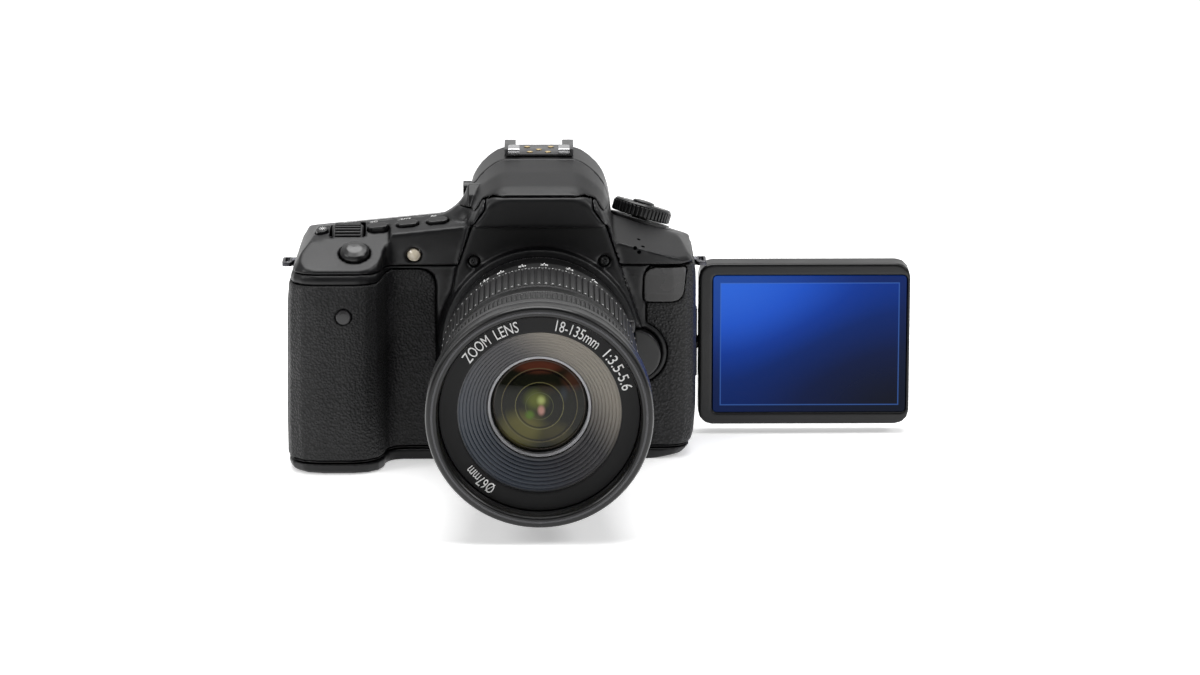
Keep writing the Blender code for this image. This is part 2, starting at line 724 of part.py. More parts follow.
def screen_recess():
    """Room behind the body for the folded screen, leaving a post above and below its arm."""
    edge = RECESS_EDGE
    low = SCREEN_MID_Z - SCREEN_HEIGHT / 2 - edge
    high = SCREEN_MID_Z + SCREEN_HEIGHT / 2 + edge
    floor_y = HINGE_Y * 2 - SCREEN_MID_Y - SCREEN_THICK / 2 - edge
    left = HINGE_X - SCREEN_GAP - SCREEN_WIDTH - edge
    room = box((left, floor_y, low), (0.08, 0.05, high))
    posts = []
    for z in (SCREEN_MID_Z - ARM_HEIGHT / 2 - GAP - 8 * MM, SCREEN_MID_Z + ARM_HEIGHT / 2 + GAP):
        radius = SCREEN_GAP - 0.7 * MM
        post = rod((HINGE_X, HINGE_Y, z), (0, 0, 1), radius, 8 * MM, 20)
        web = box((HINGE_X - radius, floor_y - 1 * MM, z), (HINGE_X + radius, HINGE_Y, z + 8 * MM))
        posts += [post, web]
    return cut(room, *posts)


def recess_tray():
    """Floor and rim that close the rear cover behind the folded screen."""
    edge = RECESS_EDGE
    low = SCREEN_MID_Z - SCREEN_HEIGHT / 2 - edge
    high = SCREEN_MID_Z + SCREEN_HEIGHT / 2 + edge
    floor_y = HINGE_Y * 2 - SCREEN_MID_Y - SCREEN_THICK / 2 - edge
    left = HINGE_X - SCREEN_GAP - SCREEN_WIDTH - edge
    block = box((left - WALL, floor_y - WALL, low - 0.2 * MM), (0.08, 0.05, high + WALL))
    return keep(block, copy_of(RUBBER_BACK))


def make_rear(rear):
    limits = box((-BIG, SIDE_SEAM_Y + GAP / 2, BASE_SEAM + GAP / 2), (BIG, BIG, TOP_SEAM - GAP / 2))
    rear = join(rear, keep(recess_tray(), limits))
    rear = cut(rear, screen_recess())
    dial_hole = rod(QUICK_DIAL_AT - Vector((0, 3.2 * MM, 0)), (0, 1, 0),
                    QUICK_DIAL_RADIUS + RUNNING_GAP, 10 * MM, 40)
    set_hole = rod(QUICK_DIAL_AT - Vector((0, 12 * MM, 0)), (0, 1, 0), 3.4 * MM, 20 * MM, 24)
    holes = [dial_hole, set_hole]
    for x, z in BACK_BUTTONS.values():
        if z < TOP_SEAM:
            holes.append(back_hole(x, z))
    holes.append(terminal_pocket(GAP))
    holes.append(lug_hole(-1))
    holes.append(lug_hole(1))
    return cut(rear, *holes)


def back_hole(x, z):
    start = (x, BODY_BACK - 8 * MM, z)
    return rod(start, (0, 1, 0), BACK_BUTTON_RADIUS + RUNNING_GAP, 16 * MM, 20)


def terminal_pocket(grow=0.0):
    """Outline of the flap over the sockets, on the hinge side behind the side rubber."""
    return box((HINGE_SIDE - 1.6 * MM - grow, TERMINAL_FRONT - grow, 14.0 * MM - grow),
               (BIG, TERMINAL_BACK + grow, 60.0 * MM + grow))


def lug_hole(side):
    x = GRIP_SIDE if side < 0 else HINGE_SIDE
    return rod((x - side * 6 * MM, LUG_Y, LUG_Z), (side, 0, 0), 1.9 * MM, 12 * MM, 16)


def make_front(front):
    bore = rod((0, FLANGE_Y - 5 * MM, AXIS_Z), (0, 1, 0), THROAT_RADIUS + 0.4 * MM, 30 * MM, 48)
    seat = rod((0, FLANGE_Y + 1.6 * MM, AXIS_Z), (0, -1, 0), MOUNT_RING_RADIUS + GAP, 10 * MM, 48)
    holes = [bore, seat]
    holes.append(release_cutter(RELEASE_RADIUS + RUNNING_GAP, FLANGE_Y + 24 * MM, RELEASE_GUARD))
    holes.append(release_cutter(RELEASE_RADIUS + 2.3 * MM, RELEASE_FACE_Y + 1.6 * MM, RELEASE_GUARD + GAP))
    for x in FRONT_SCREWS.values():
        holes.append(rod((x, FLANGE_Y + 9 * MM, SCREW_Z), (0, -1, 0), 1.9 * MM + GAP, 20 * MM, 16))
    holes.append(flash_well())
    holes.append(rod(DEPTH_AT + Vector((0, 8 * MM, 0)), (0, -1, 0), 3.0 * MM + RUNNING_GAP, 16 * MM, 20))
    holes.append(rod(WINDOW_AT + Vector((0, 8 * MM, 0)), (0, -1, 0), 2.6 * MM + GAP, 16 * MM, 20))
    holes.append(rod(FLASH_BUTTON_AT - FLASH_BUTTON_NORMAL * 5 * MM, FLASH_BUTTON_NORMAL,
                     FLASH_RADIUS + RUNNING_GAP, 9 * MM, 12))
    return cut(front, *holes)


def release_cutter(radius, start_y, guard_radius):
    """Round hole beside the mount, with the mount's own circle left standing."""
    hole = rod((RELEASE_X, start_y, RELEASE_Z), (0, -1, 0), radius, 40 * MM, 24)
    return cut(hole, rod((0, 0.05, AXIS_Z), (0, -1, 0), guard_radius, 0.15, LENS_SEGMENTS))


def make_top(top):
    holes = [
        rod(TRIGGER_POINT - TRIGGER_NORMAL * 8 * MM, TRIGGER_NORMAL, SHUTTER_RADIUS + RUNNING_GAP,
            20 * MM, 28),
        rod(MAIN_DIAL_AT - Vector((MAIN_DIAL_WIDTH / 2 + 0.6 * MM, 0, 0)), (1, 0, 0),
            MAIN_DIAL_RADIUS + RUNNING_GAP * 2, MAIN_DIAL_WIDTH + 1.2 * MM, 32),
        rod(on_ridge(LIGHT_AT.x, LIGHT_AT.y, -6 * MM), RIDGE_NORMAL, 2.1 * MM + RUNNING_GAP,
            12 * MM, 16),
        rod(LAMP_AT + Vector((0, 8 * MM, 0)), (0, -1, 0), 2.4 * MM + GAP, 16 * MM, 20),
        rod(DIAL_POINT - DIAL_NORMAL * 1.3 * MM, DIAL_NORMAL, MODE_DIAL_RADIUS + 1.6 * MM, 30 * MM, 40),
        rod(DIAL_POINT - DIAL_NORMAL * 9 * MM, DIAL_NORMAL, 3.0 * MM + RUNNING_GAP, 20 * MM, 20),
        display_window(GAP),
        flash_well(),
        box((-10 * MM - GAP, HUMP_BACK - 6 * MM, EYEPIECE_Z - 6.4 * MM - GAP),
            (10 * MM + GAP, HUMP_BACK + 6 * MM, EYEPIECE_Z + 6.4 * MM + GAP)),
        rod((DIOPTRE_X + 4 * MM, DIOPTRE_Y, DIOPTRE_Z), (-1, 0, 0), 3.2 * MM + RUNNING_GAP, 12 * MM, 20),
    ]
    for x in TOP_BUTTONS.values():
        holes.append(prism(oval(7.4 * MM + RUNNING_GAP * 2, 3.8 * MM + RUNNING_GAP * 2), -6 * MM, 6 * MM,
                           "XY", ridge_matrix(x, TOP_BUTTON_Y)))
    for x, z in BACK_BUTTONS.values():
        if z > TOP_SEAM:
            holes.append(back_hole(x, z))
    return cut(top, *holes)


def display_window(grow=0.0):
    outline = rectangle((-17.5 * MM - grow, -10 * MM - grow), (17.5 * MM + grow, 10 * MM + grow), 2 * MM)
    place = Matrix.Translation(on_plane(DECK_TURN, -52.0 * MM, -8.0 * MM)) @ DECK_TURN
    return prism(outline, -1.2 * MM - grow, 0.2 * MM, "XY", place)


def battery_door_outline(grow=0.0):
    return rectangle((-84.6 * MM - grow, -46.0 * MM - grow), (-61.0 * MM + grow, -10.0 * MM + grow), 3 * MM)


def card_door_box(grow=0.0):
    return box((-BIG, CARD_FRONT - grow, 16.0 * MM - grow),
               (GRIP_SIDE + 2.2 * MM + grow, CARD_BACK + grow, 60.0 * MM + grow))


def main_covers():
    bottom, front, rear, top = make_covers()
    bottom = cut(
        bottom,
        prism(battery_door_outline(GAP), -0.01, 0.02, "XY"),
        rod((0, TRIPOD_Y, -0.01), (0, 0, 1), 5.0 * MM + GAP, 0.03, 24),
        screen_recess(),
    )
    rear = cut(make_rear(rear), card_door_box(GAP))
    piece("bottom_cover", bottom, "shell")
    piece("front_cover", make_front(front), "shell")
    piece("rear_cover", rear, "shell")
    piece("top_cover", make_top(top), "shell")


def make_skins():
    grip = cut(skin(grip_region()),
               rod(WINDOW_AT + Vector((0, 8 * MM, 0)), (0, -1, 0), 2.6 * MM + GAP, 16 * MM, 20))
    piece("grip_rubber", grip, "rubber")
    piece("side_rubber", skin(side_region()), "rubber")
    piece("thumb_rubber", skin(thumb_region()), "rubber")
    piece("badge_plate", skin(badge_region()), "badge")


# ---------------------------------------------------------------- fittings on the body

def make_fittings():
    ring = lens_turned([(MOUNT_RING_RADIUS, FLANGE_Y + 1.3 * MM), (MOUNT_RING_RADIUS, FLANGE_Y),
                        (THROAT_RADIUS, FLANGE_Y), (THROAT_RADIUS, FLANGE_Y + 1.3 * MM)])
    piece("mount_ring", flipped_out(ring), "metal", smooth=True)

    half = SHOE_WIDTH / 2
    base = HUMP_TOP + GAP
    lip = 4.0 * MM
    profile = [(-half, base), (half, base), (half, base + 2.6 * MM), (half - lip, base + 2.6 * MM),
               (half - lip, base + 1.8 * MM), (half - 1.2 * MM, base + 1.8 * MM),
               (half - 1.2 * MM, base + 0.8 * MM), (1.2 * MM - half, base + 0.8 * MM),
               (1.2 * MM - half, base + 1.8 * MM), (lip - half, base + 1.8 * MM),
               (lip - half, base + 2.6 * MM), (-half, base + 2.6 * MM)]
    piece("hot_shoe", prism(profile, -10.6 * MM, -10.6 * MM + SHOE_LENGTH), "metal")

    for name, x in FRONT_SCREWS.items():
        head = rod((x, FLANGE_Y + 7.5 * MM, SCREW_Z), (0, -1, 0), 1.9 * MM, 1.9 * MM, 16)
        slot = rod((x, FLANGE_Y + 6.4 * MM, SCREW_Z), (0, -1, 0), 0.9 * MM, 3 * MM, 6)
        piece(name, cut(head, slot), "gloss")

    lamp_place = facing(LAMP_AT + Vector((0, 4.0 * MM, 0)), (0, -1, 0))
    piece("self_timer_lamp", capped(lamp_place, 2.4 * MM, 5.0 * MM, 1.6 * MM), "lamp", smooth=True)
    window_place = facing(WINDOW_AT + Vector((0, 5.0 * MM, 0)), (0, -1, 0))
    piece("remote_window", capped(window_place, 2.6 * MM, 5.0 * MM, 0.3 * MM), "gloss", smooth=True)
    piece("top_display_window", display_window(), "glass")

    sockets = turned([(1.6 * MM * 1.98, 0.0), (5.0 * MM, 0.0), (5.0 * MM, 6.0 * MM), (3.17 * MM, 6.0 * MM)],
                     Matrix.Translation((0, TRIPOD_Y, 0.2 * MM)), 24)
    piece("tripod_socket", flipped_out(sockets), "metal")

    for name, side in (("strap_lug_left", -1), ("strap_lug_right", 1)):
        piece(name, strap_lug(side), "metal", smooth=True)


def flipped_out(obj):
    """Recalculate the faces of a turned solid so that they point out."""
    mesh = evaluated(obj)
    bpy.data.objects.remove(obj)
    bm = bmesh.new()
    bm.from_mesh(mesh)
    bmesh.ops.recalc_face_normals(bm, faces=bm.faces)
    return from_bmesh("solid", bm)


def strap_lug(side):
    """Post through the cover with an eye for the strap outside it."""
    x = GRIP_SIDE + 1.5 * MM if side < 0 else HINGE_SIDE
    post = rod((x - side * 4 * MM, LUG_Y, LUG_Z), (side, 0, 0), 1.6 * MM, 4.9 * MM, 16)
    width, height, bar = 9.0 * MM, 3.6 * MM, 1.0 * MM
    outer = rounded(lug_outline(x, side, width, height))
    eye = prism(outer, LUG_Z - 0.8 * MM, LUG_Z + 0.8 * MM, "XY")
    hole = prism(rounded(lug_outline(x + side * bar, side, width - 2 * bar, height - 2 * bar)),
                 LUG_Z - 3 * MM, LUG_Z + 3 * MM, "XY")
    return join(post, cut(eye, hole))


def lug_outline(x, side, width, height):
    near = x + side * 0.6 * MM
    far = near + side * height
    low, high = min(near, far), max(near, far)
    radius = height * 0.3
    return [(low, LUG_Y - width / 2, radius), (high, LUG_Y - width / 2, radius),
            (high, LUG_Y + width / 2, radius), (low, LUG_Y + width / 2, radius)]


def make_viewfinder():
    back = HUMP_BACK + GAP
    outline = rounded([(-17 * MM, EYEPIECE_Z - 11.0 * MM, 5 * MM), (17 * MM, EYEPIECE_Z - 11.0 * MM, 5 * MM),
                       (17 * MM, EYEPIECE_Z + 10.0 * MM, 5 * MM), (-17 * MM, EYEPIECE_Z + 10.0 * MM, 5 * MM)])
    opening = rectangle((-10.5 * MM, EYEPIECE_Z - 6.5 * MM), (10.5 * MM, EYEPIECE_Z + 6.5 * MM), 3 * MM)
    cup = soften(prism(outline, back, back + 6.5 * MM), 1.2 * MM, 1)
    piece("eyecup", cut(cup, prism(opening, back - 0.01, back + 0.02)), "rubber")
    piece("eyepiece_lens", box((-10 * MM, back - 4.0 * MM, EYEPIECE_Z - 6.0 * MM),
                               (10 * MM, back - 1.5 * MM, EYEPIECE_Z + 6.0 * MM)), "glass")
    knob = rod((DIOPTRE_X + 3 * MM, DIOPTRE_Y, DIOPTRE_Z), (-1, 0, 0), 3.2 * MM, 5.6 * MM, 20)
    piece("dioptre_knob", knob, "shell", pivot=(DIOPTRE_X, DIOPTRE_Y, DIOPTRE_Z), smooth=True)
    penta = [(-30 * MM, 63.5 * MM), (3.5 * MM, 63.5 * MM), (3.5 * MM, 80 * MM), (-4 * MM, 89.5 * MM),
             (-24 * MM, 89.5 * MM), (-30 * MM, 80 * MM)]
    piece("viewfinder_prism", prism(penta, -15 * MM, 15 * MM, "YZ"), "glass")


def make_inside():
    outer = box((-BOX_INSIDE_X - BOX_WALL, FLANGE_Y + 2.4 * MM + WALL, BOX_LOW - BOX_WALL),
                (BOX_INSIDE_X + BOX_WALL, -4.5 * MM, BOX_HIGH + 1.5 * MM))
    inner = box((-BOX_INSIDE_X, FLANGE_Y - 0.01, BOX_LOW), (BOX_INSIDE_X, 0.0, BOX_HIGH))
    window = box((-13 * MM, -30 * MM, BOX_HIGH - 1 * MM), (13 * MM, -10 * MM, BOX_HIGH + 5 * MM))
    piece("mirror_box", cut(outer, inner, window), "shell")
    sensor = box((-14 * MM, -2.5 * MM, AXIS_Z - 10.5 * MM), (14 * MM, 0.0, AXIS_Z + 10.5 * MM))
    piece("image_sensor", sensor, "glass")
    piece("main_board", box((-52 * MM, -24 * MM, 8 * MM), (-24 * MM, -22.4 * MM, 60 * MM)), "board")
    low = Vector((-82.2 * MM, -44.8 * MM, 6.0 * MM))
    piece("battery", box(low, low + BATTERY, 0.8 * MM), "gloss")

    swing = (MIRROR_PIVOT.y, MIRROR_PIVOT.z)
    plate = box((-MIRROR_WIDTH / 2, -MIRROR_LENGTH, -1.5 * MM), (MIRROR_WIDTH / 2, 0.0, 0.0))
    plate.matrix_world = Matrix.Translation((0, *swing)) @ Matrix.Rotation(math.radians(45), 4, "X")
    piece("reflex_mirror", plate, "mirror", pivot=MIRROR_PIVOT)


# ---------------------------------------------------------------- controls

def make_controls():
    place = facing(TRIGGER_POINT - TRIGGER_NORMAL * 3.0 * MM, TRIGGER_NORMAL)
    button = capped(place, SHUTTER_RADIUS, 5.6 * MM, 2.0 * MM, 28)
    piece("shutter_button", button, "gloss", pivot=TRIGGER_POINT, smooth=True)

    half = MAIN_DIAL_WIDTH / 2
    wheel = rod(MAIN_DIAL_AT - Vector((half, 0, 0)), (1, 0, 0), MAIN_DIAL_RADIUS, MAIN_DIAL_WIDTH, 36)
    piece("main_dial", wheel, "rubber", pivot=MAIN_DIAL_AT, smooth=True)

    for name, x in TOP_BUTTONS.items():
        stem = prism(oval(7.4 * MM, 3.8 * MM), -4.0 * MM, 0.8 * MM, "XY", ridge_matrix(x, TOP_BUTTON_Y))
        piece(name, soften(stem, 0.3 * MM, 1, 60), "shell", pivot=on_ridge(x, TOP_BUTTON_Y))
    light = rod(on_ridge(LIGHT_AT.x, LIGHT_AT.y, -4 * MM), RIDGE_NORMAL, 2.1 * MM, 4.7 * MM, 16)
    piece("light_button", light, "shell", pivot=on_ridge(LIGHT_AT.x, LIGHT_AT.y))

    lift = DIAL_POINT + DIAL_NORMAL * 1.6 * MM
    top = MODE_DIAL_HEIGHT - 1.6 * MM
    dial = turned([(4.3 * MM, top - 0.4 * MM), (MODE_DIAL_RADIUS - 0.7 * MM, top),
                   (MODE_DIAL_RADIUS, top - 0.9 * MM), (MODE_DIAL_RADIUS, 0.0), (2.9 * MM, 0.0),
                   (2.9 * MM, -8.0 * MM), (1.6 * MM, -8.0 * MM), (1.6 * MM, 1.2 * MM),
                   (4.3 * MM, 1.2 * MM)], facing(lift, DIAL_NORMAL), 40)
    piece("mode_dial", dial, "shell", pivot=lift, smooth=True)
    lock = capped(facing(lift + DIAL_NORMAL * 2.4 * MM, DIAL_NORMAL), 4.3 * MM - RUNNING_GAP,
                  top - 1.2 * MM, 0.6 * MM)
    piece("mode_lock_button", lock, "gloss", pivot=lift, smooth=True)
    seat = DIAL_POINT - DIAL_NORMAL * 0.9 * MM
    lever = turned([(3.3 * MM, 2.0 * MM), (MODE_DIAL_RADIUS + 0.6 * MM, 2.0 * MM),
                    (MODE_DIAL_RADIUS + 0.6 * MM, 0.0), (3.3 * MM, 0.0)], facing(seat, DIAL_NORMAL), 36)
    tab = box((-2.0 * MM, MODE_DIAL_RADIUS - 1.0 * MM, 1.25 * MM),
              (2.0 * MM, MODE_DIAL_RADIUS + 3.8 * MM, 1.9 * MM))
    tab.matrix_world = facing(seat, DIAL_NORMAL)
    piece("power_lever", join(flipped_out(lever), tab), "shell", pivot=seat)

    depth = capped(facing(DEPTH_AT + Vector((0, 4 * MM, 0)), (0, -1, 0)), 3.0 * MM, 5.0 * MM, 0.8 * MM)
    piece("depth_preview_button", depth, "shell", pivot=DEPTH_AT, smooth=True)
    flash = rod(FLASH_BUTTON_AT - FLASH_BUTTON_NORMAL * 3.4 * MM, FLASH_BUTTON_NORMAL, FLASH_RADIUS,
                FLASH_LENGTH, 12)
    piece("flash_button", flash, "shell", pivot=FLASH_BUTTON_AT)

    start = (RELEASE_X, RELEASE_FACE_Y + 5.5 * MM, RELEASE_Z)
    release = rod(start, (0, -1, 0), RELEASE_RADIUS, 5.5 * MM, 32)
    guard = rod((0, FLANGE_Y + 40 * MM, AXIS_Z), (0, -1, 0), RELEASE_GUARD + RUNNING_GAP, 80 * MM, 48)
    piece("lens_release_button", soften(cut(release, guard), 0.6 * MM, 2, 60), "shell",
          pivot=(RELEASE_X, RELEASE_FACE_Y, RELEASE_Z))

    for name, (x, z) in BACK_BUTTONS.items():
        place = facing((x, BODY_BACK - 3.0 * MM, z), (0, 1, 0))
        if z > TOP_SEAM:
            place = facing((x, BODY_BACK - 3.4 * MM, z), (0, 1, 0))
        piece(name, capped(place, BACK_BUTTON_RADIUS, 4.4 * MM, 0.6 * MM, 20), "shell",
              pivot=(x, BODY_BACK, z), smooth=True)

    wheel = turned([(6.2 * MM, 2.2 * MM), (9.0 * MM, 1.8 * MM), (QUICK_DIAL_RADIUS - 1.5 * MM, 3.4 * MM),
                    (QUICK_DIAL_RADIUS, 2.4 * MM), (QUICK_DIAL_RADIUS, 0.0), (6.2 * MM, 0.0)],
                   facing(QUICK_DIAL_AT - Vector((0, 2.2 * MM, 0)), (0, 1, 0)), 40)
    piece("quick_dial", wheel, "shell", pivot=QUICK_DIAL_AT, smooth=True)
    middle = turned([(0.0, 5.2 * MM), (4.6 * MM, 5.0 * MM), (5.8 * MM, 4.0 * MM), (5.8 * MM, 2.2 * MM),
                     (3.0 * MM, 2.2 * MM), (3.0 * MM, 0.0), (0.0, 0.0)],
                    facing(QUICK_DIAL_AT - Vector((0, 5.0 * MM - BUTTON_TRAVEL, 0)), (0, 1, 0)),
                    28, closed=False)
    piece("set_button", middle, "shell", pivot=QUICK_DIAL_AT, smooth=True)


# ---------------------------------------------------------------- flash

def flash_well():
    """Room under the lid for the flash lamp and its swing."""
    return box((-17.2 * MM, -40.8 * MM, 90.2 * MM), (17.2 * MM, -17.0 * MM, 98.0 * MM))


def make_flash():
    lid = keep(copy_of(OUTER), lid_region())
    hollow = keep(hump(LID_WALL), box((-BIG, -BIG, 0.0), (BIG, LID_BACK - 3.4 * MM, BIG)))
    lid = cut(lid, hollow)
    lamp_house = box((-14.5 * MM, -34.6 * MM, 91.2 * MM), (14.5 * MM, -20 * MM, 98.6 * MM))
    rear_relief = box((-BIG, LID_BACK - 1.4 * MM, 0.0), (BIG, BIG, 100.0 * MM))
    piece("flash_head", cut(join(lid, lamp_house), rear_relief), "shell", pivot=LID_PIVOT)
    window = box((-13.4 * MM, -36.9 * MM, 91.8 * MM), (13.4 * MM, -34.6 * MM - GAP, 96.0 * MM), 0.5 * MM)
    piece("flash_window", window, "lamp", pivot=LID_PIVOT)


# ---------------------------------------------------------------- doors

def make_doors():
    outline = battery_door_outline()
    door = prism(outline, 0.2 * MM, BASE_SEAM - 0.6 * MM, "XY")
    piece("battery_door", door, "shell", pivot=BATTERY_HINGE)
    card = keep(card_door_box(), copy_of(OUTER))
    inside = box((GRIP_SIDE + 2.2 * MM, -BIG, -BIG), (BIG, BIG, BIG))
    piece("card_door", cut(card, inside), "shell", pivot=CARD_HINGE)
    flap = keep(terminal_pocket(), copy_of(OUTER))
    piece("terminal_cover", flap, "rubber", pivot=TERMINAL_HINGE)


# ---------------------------------------------------------------- screen

def make_screen():
    near = HINGE_X + SCREEN_GAP
    far = near + SCREEN_WIDTH
    low = SCREEN_MID_Z - SCREEN_HEIGHT / 2
    high = SCREEN_MID_Z + SCREEN_HEIGHT / 2
    front = SCREEN_MID_Y - SCREEN_THICK / 2
    back = SCREEN_MID_Y + SCREEN_THICK / 2
    tilt = Vector((near, SCREEN_MID_Y, SCREEN_MID_Z))

    case = soften(prism(rounded([(near, low, 5 * MM), (far, low, 5 * MM), (far, high, 5 * MM),
                                 (near, high, 5 * MM)]), front, back), 1.0 * MM, 2, 60)
    rim = 4.6 * MM
    pane = [(near + 5.4 * MM, low + rim, 1.2 * MM), (far - 1.4 * MM, low + rim, 1.2 * MM),
            (far - 1.4 * MM, high - rim, 1.2 * MM), (near + 5.4 * MM, high - rim, 1.2 * MM)]
    pocket = prism(rounded(inset_corners(pane, -GAP)), front - 1 * MM, front + GLASS_THICK + GAP)
    pin_hole = rod(tilt - Vector((1 * MM, 0, 0)), (1, 0, 0), TILT_PIN_RADIUS + RUNNING_GAP, 5.0 * MM, 20)
    piece("screen_housing", cut(case, pocket, pin_hole), "shell", pivot=tilt)
    glass = prism(rounded(pane), front + 0.2 * MM, front + 0.2 * MM + GLASS_THICK - GAP)
    piece("screen_glass", glass, "screen", pivot=tilt)

    floor_y = HINGE_Y * 2 - SCREEN_MID_Y - SCREEN_THICK / 2 - RECESS_EDGE
    radius = HINGE_Y - floor_y - GAP
    arm_low = SCREEN_MID_Z - ARM_HEIGHT / 2
    knuckle = rod((HINGE_X, HINGE_Y, arm_low), (0, 0, 1), radius, ARM_HEIGHT, 20)
    tongue = box((HINGE_X, floor_y + GAP, arm_low + 1 * MM),
                 (near - GAP, HINGE_Y + 2.5 * MM, arm_low + ARM_HEIGHT - 1 * MM))
    pin = rod(tilt - Vector((1 * MM, 0, 0)), (1, 0, 0), TILT_PIN_RADIUS, 4.6 * MM, 20)
    piece("screen_arm", join(knuckle, tongue, pin), "shell", pivot=(HINGE_X, HINGE_Y, SCREEN_MID_Z))


# ---------------------------------------------------------------- lens

def make_lens():
    core_inner = CORE_RADIUS - CORE_WALL
    barrel = lens_turned([
        (THROAT_RADIUS - 1.0 * MM, FLANGE_Y + 4.0 * MM), (THROAT_RADIUS - 1.0 * MM, FLANGE_Y - GAP),
        (REAR_BARREL_RADIUS - 0.8 * MM, FLANGE_Y - GAP), (REAR_BARREL_RADIUS, FLANGE_Y - 1.5 * MM),
        (REAR_BARREL_RADIUS, REAR_BARREL_FRONT), (CORE_RADIUS, REAR_BARREL_FRONT),
        (CORE_RADIUS, ZOOM_RING_FRONT - GAP), (ZOOM_RING_RADIUS + 0.4 * MM, ZOOM_RING_FRONT - GAP),
        (FOCUS_RING_RADIUS - 0.4 * MM, FOCUS_RING_BACK + GAP), (CORE_RADIUS, FOCUS_RING_BACK + GAP),
        (CORE_RADIUS, FRONT_RING_BACK + 0.6 * MM), (core_inner, FRONT_RING_BACK + 0.6 * MM),
        (core_inner, FLANGE_Y - 4.0 * MM), (THROAT_RADIUS - 2.6 * MM, FLANGE_Y - 2.0 * MM),
        (THROAT_RADIUS - 2.6 * MM, FLANGE_Y + 4.0 * MM)])
    pockets = [switch_box(z, GAP) for z in SWITCHES.values()]
    piece("lens_barrel", cut(flipped_out(barrel), *pockets), "shell", smooth=True)
    for name, z in SWITCHES.items():
        piece(name, switch_box(z), "gloss", pivot=(REAR_BARREL_RADIUS, SWITCH_Y, z))

    ride = CORE_RADIUS + RUNNING_GAP
    zoom_back = REAR_BARREL_FRONT - GAP
    zoom = lens_turned([
        (ZOOM_RING_RADIUS - 0.9 * MM, zoom_back), (ZOOM_RING_RADIUS, zoom_back - 3.0 * MM),
        (ZOOM_RING_RADIUS, ZOOM_RING_FRONT + 4.0 * MM), (ZOOM_RING_RADIUS + 0.4 * MM, ZOOM_RING_FRONT),
        (ride, ZOOM_RING_FRONT), (ride, zoom_back)])
    piece("zoom_ring", flipped_out(zoom), "rubber", pivot=(0, zoom_back, AXIS_Z), smooth=True)

    focus_front = FRONT_RING_BACK + 0.6 * MM
    focus = lens_turned([
        (FOCUS_RING_RADIUS - 0.5 * MM, FOCUS_RING_BACK), (FOCUS_RING_RADIUS, FOCUS_RING_BACK - 1.5 * MM),
        (FOCUS_RING_RADIUS, focus_front + 1.2 * MM), (FOCUS_RING_RADIUS - 0.5 * MM, focus_front),
        (ride, focus_front), (ride, FOCUS_RING_BACK)])
    piece("focus_ring", flipped_out(focus), "rubber", pivot=(0, FOCUS_RING_BACK, AXIS_Z), smooth=True)

    slide = core_inner - RUNNING_GAP
    bore = slide - INNER_WALL
    name_y = LENS_FRONT + NAME_RING_DEPTH
    inner = lens_turned([
        (slide, INNER_BACK), (slide, FRONT_RING_BACK), (FRONT_RADIUS - 0.6 * MM, FRONT_RING_BACK),
        (FRONT_RADIUS, FRONT_RING_BACK - 2.0 * MM), (FRONT_RADIUS, LENS_FRONT + 0.8 * MM),
        (FRONT_RADIUS - 0.7 * MM, LENS_FRONT), (FILTER_RADIUS + 1.0 * MM, LENS_FRONT),
        (FILTER_RADIUS, LENS_FRONT + 1.0 * MM), (FILTER_RADIUS, name_y + 1.6 * MM + GAP),
        (bore, name_y + 1.6 * MM + GAP), (bore, INNER_BACK)])
    piece("inner_barrel", flipped_out(inner), "shell", smooth=True)

    ring = lens_turned([
        (FILTER_RADIUS - GAP, name_y + 1.6 * MM), (FILTER_RADIUS - GAP, name_y),
        (NAME_RING_INNER, name_y + 0.6 * MM), (NAME_RING_INNER, name_y + 1.6 * MM)])
    piece("name_ring", flipped_out(ring), "shell", smooth=True)

    glass_y = LENS_FRONT + GLASS_DEPTH
    baffle_front = name_y + 1.6 * MM + GAP * 2
    baffle = lens_turned([
        (bore - GAP, baffle_front), (NAME_RING_INNER - 0.4 * MM, baffle_front),
        (GLASS_RADIUS + 0.6 * MM, glass_y - 1.0 * MM), (GLASS_RADIUS + 0.6 * MM, glass_y + 5.0 * MM),
        (GLASS_RADIUS + 2.4 * MM, glass_y + 5.0 * MM), (bore - GAP, baffle_front + 4.0 * MM)])
    piece("front_baffle", flipped_out(baffle), "shell", smooth=True)

    dome = [(0.0, 0.0)]
    for step in range(1, 7):
        radius = (GLASS_RADIUS + 0.3 * MM) * step / 6
        dome.append((radius, -2.6 * MM * (step / 6) ** 2))
    dome += [(GLASS_RADIUS + 0.3 * MM, -5.6 * MM), (0.0, -5.6 * MM)]
    place = facing((0, glass_y, AXIS_Z), (0, -1, 0))
    piece("front_lens", flipped_out(turned(dome, place, 40, closed=False)), "glass", smooth=True)


def switch_box(z, grow=0.0):
    travel = 3.0 * MM if grow else 0.0
    return box((REAR_BARREL_RADIUS - 2.0 * MM - grow, SWITCH_Y - 1.6 * MM - grow,
                z - 2.0 * MM - grow - travel),
               (REAR_BARREL_RADIUS + 0.7 * MM + grow * 4, SWITCH_Y + 1.6 * MM + grow, z + 2.0 * MM + grow),
               0.0 if grow else 0.3 * MM)


main_covers()
make_skins()
make_fittings()
make_viewfinder()
make_inside()
make_controls()
make_flash()
make_doors()
make_screen()
make_lens()
for form in (OUTER, RUBBER_BACK, BED, INNER):
    bpy.data.objects.remove(form)
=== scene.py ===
import math

import bmesh
import bpy
import numpy as np
from mathutils import Matrix, Vector
from mathutils.bvhtree import BVHTree


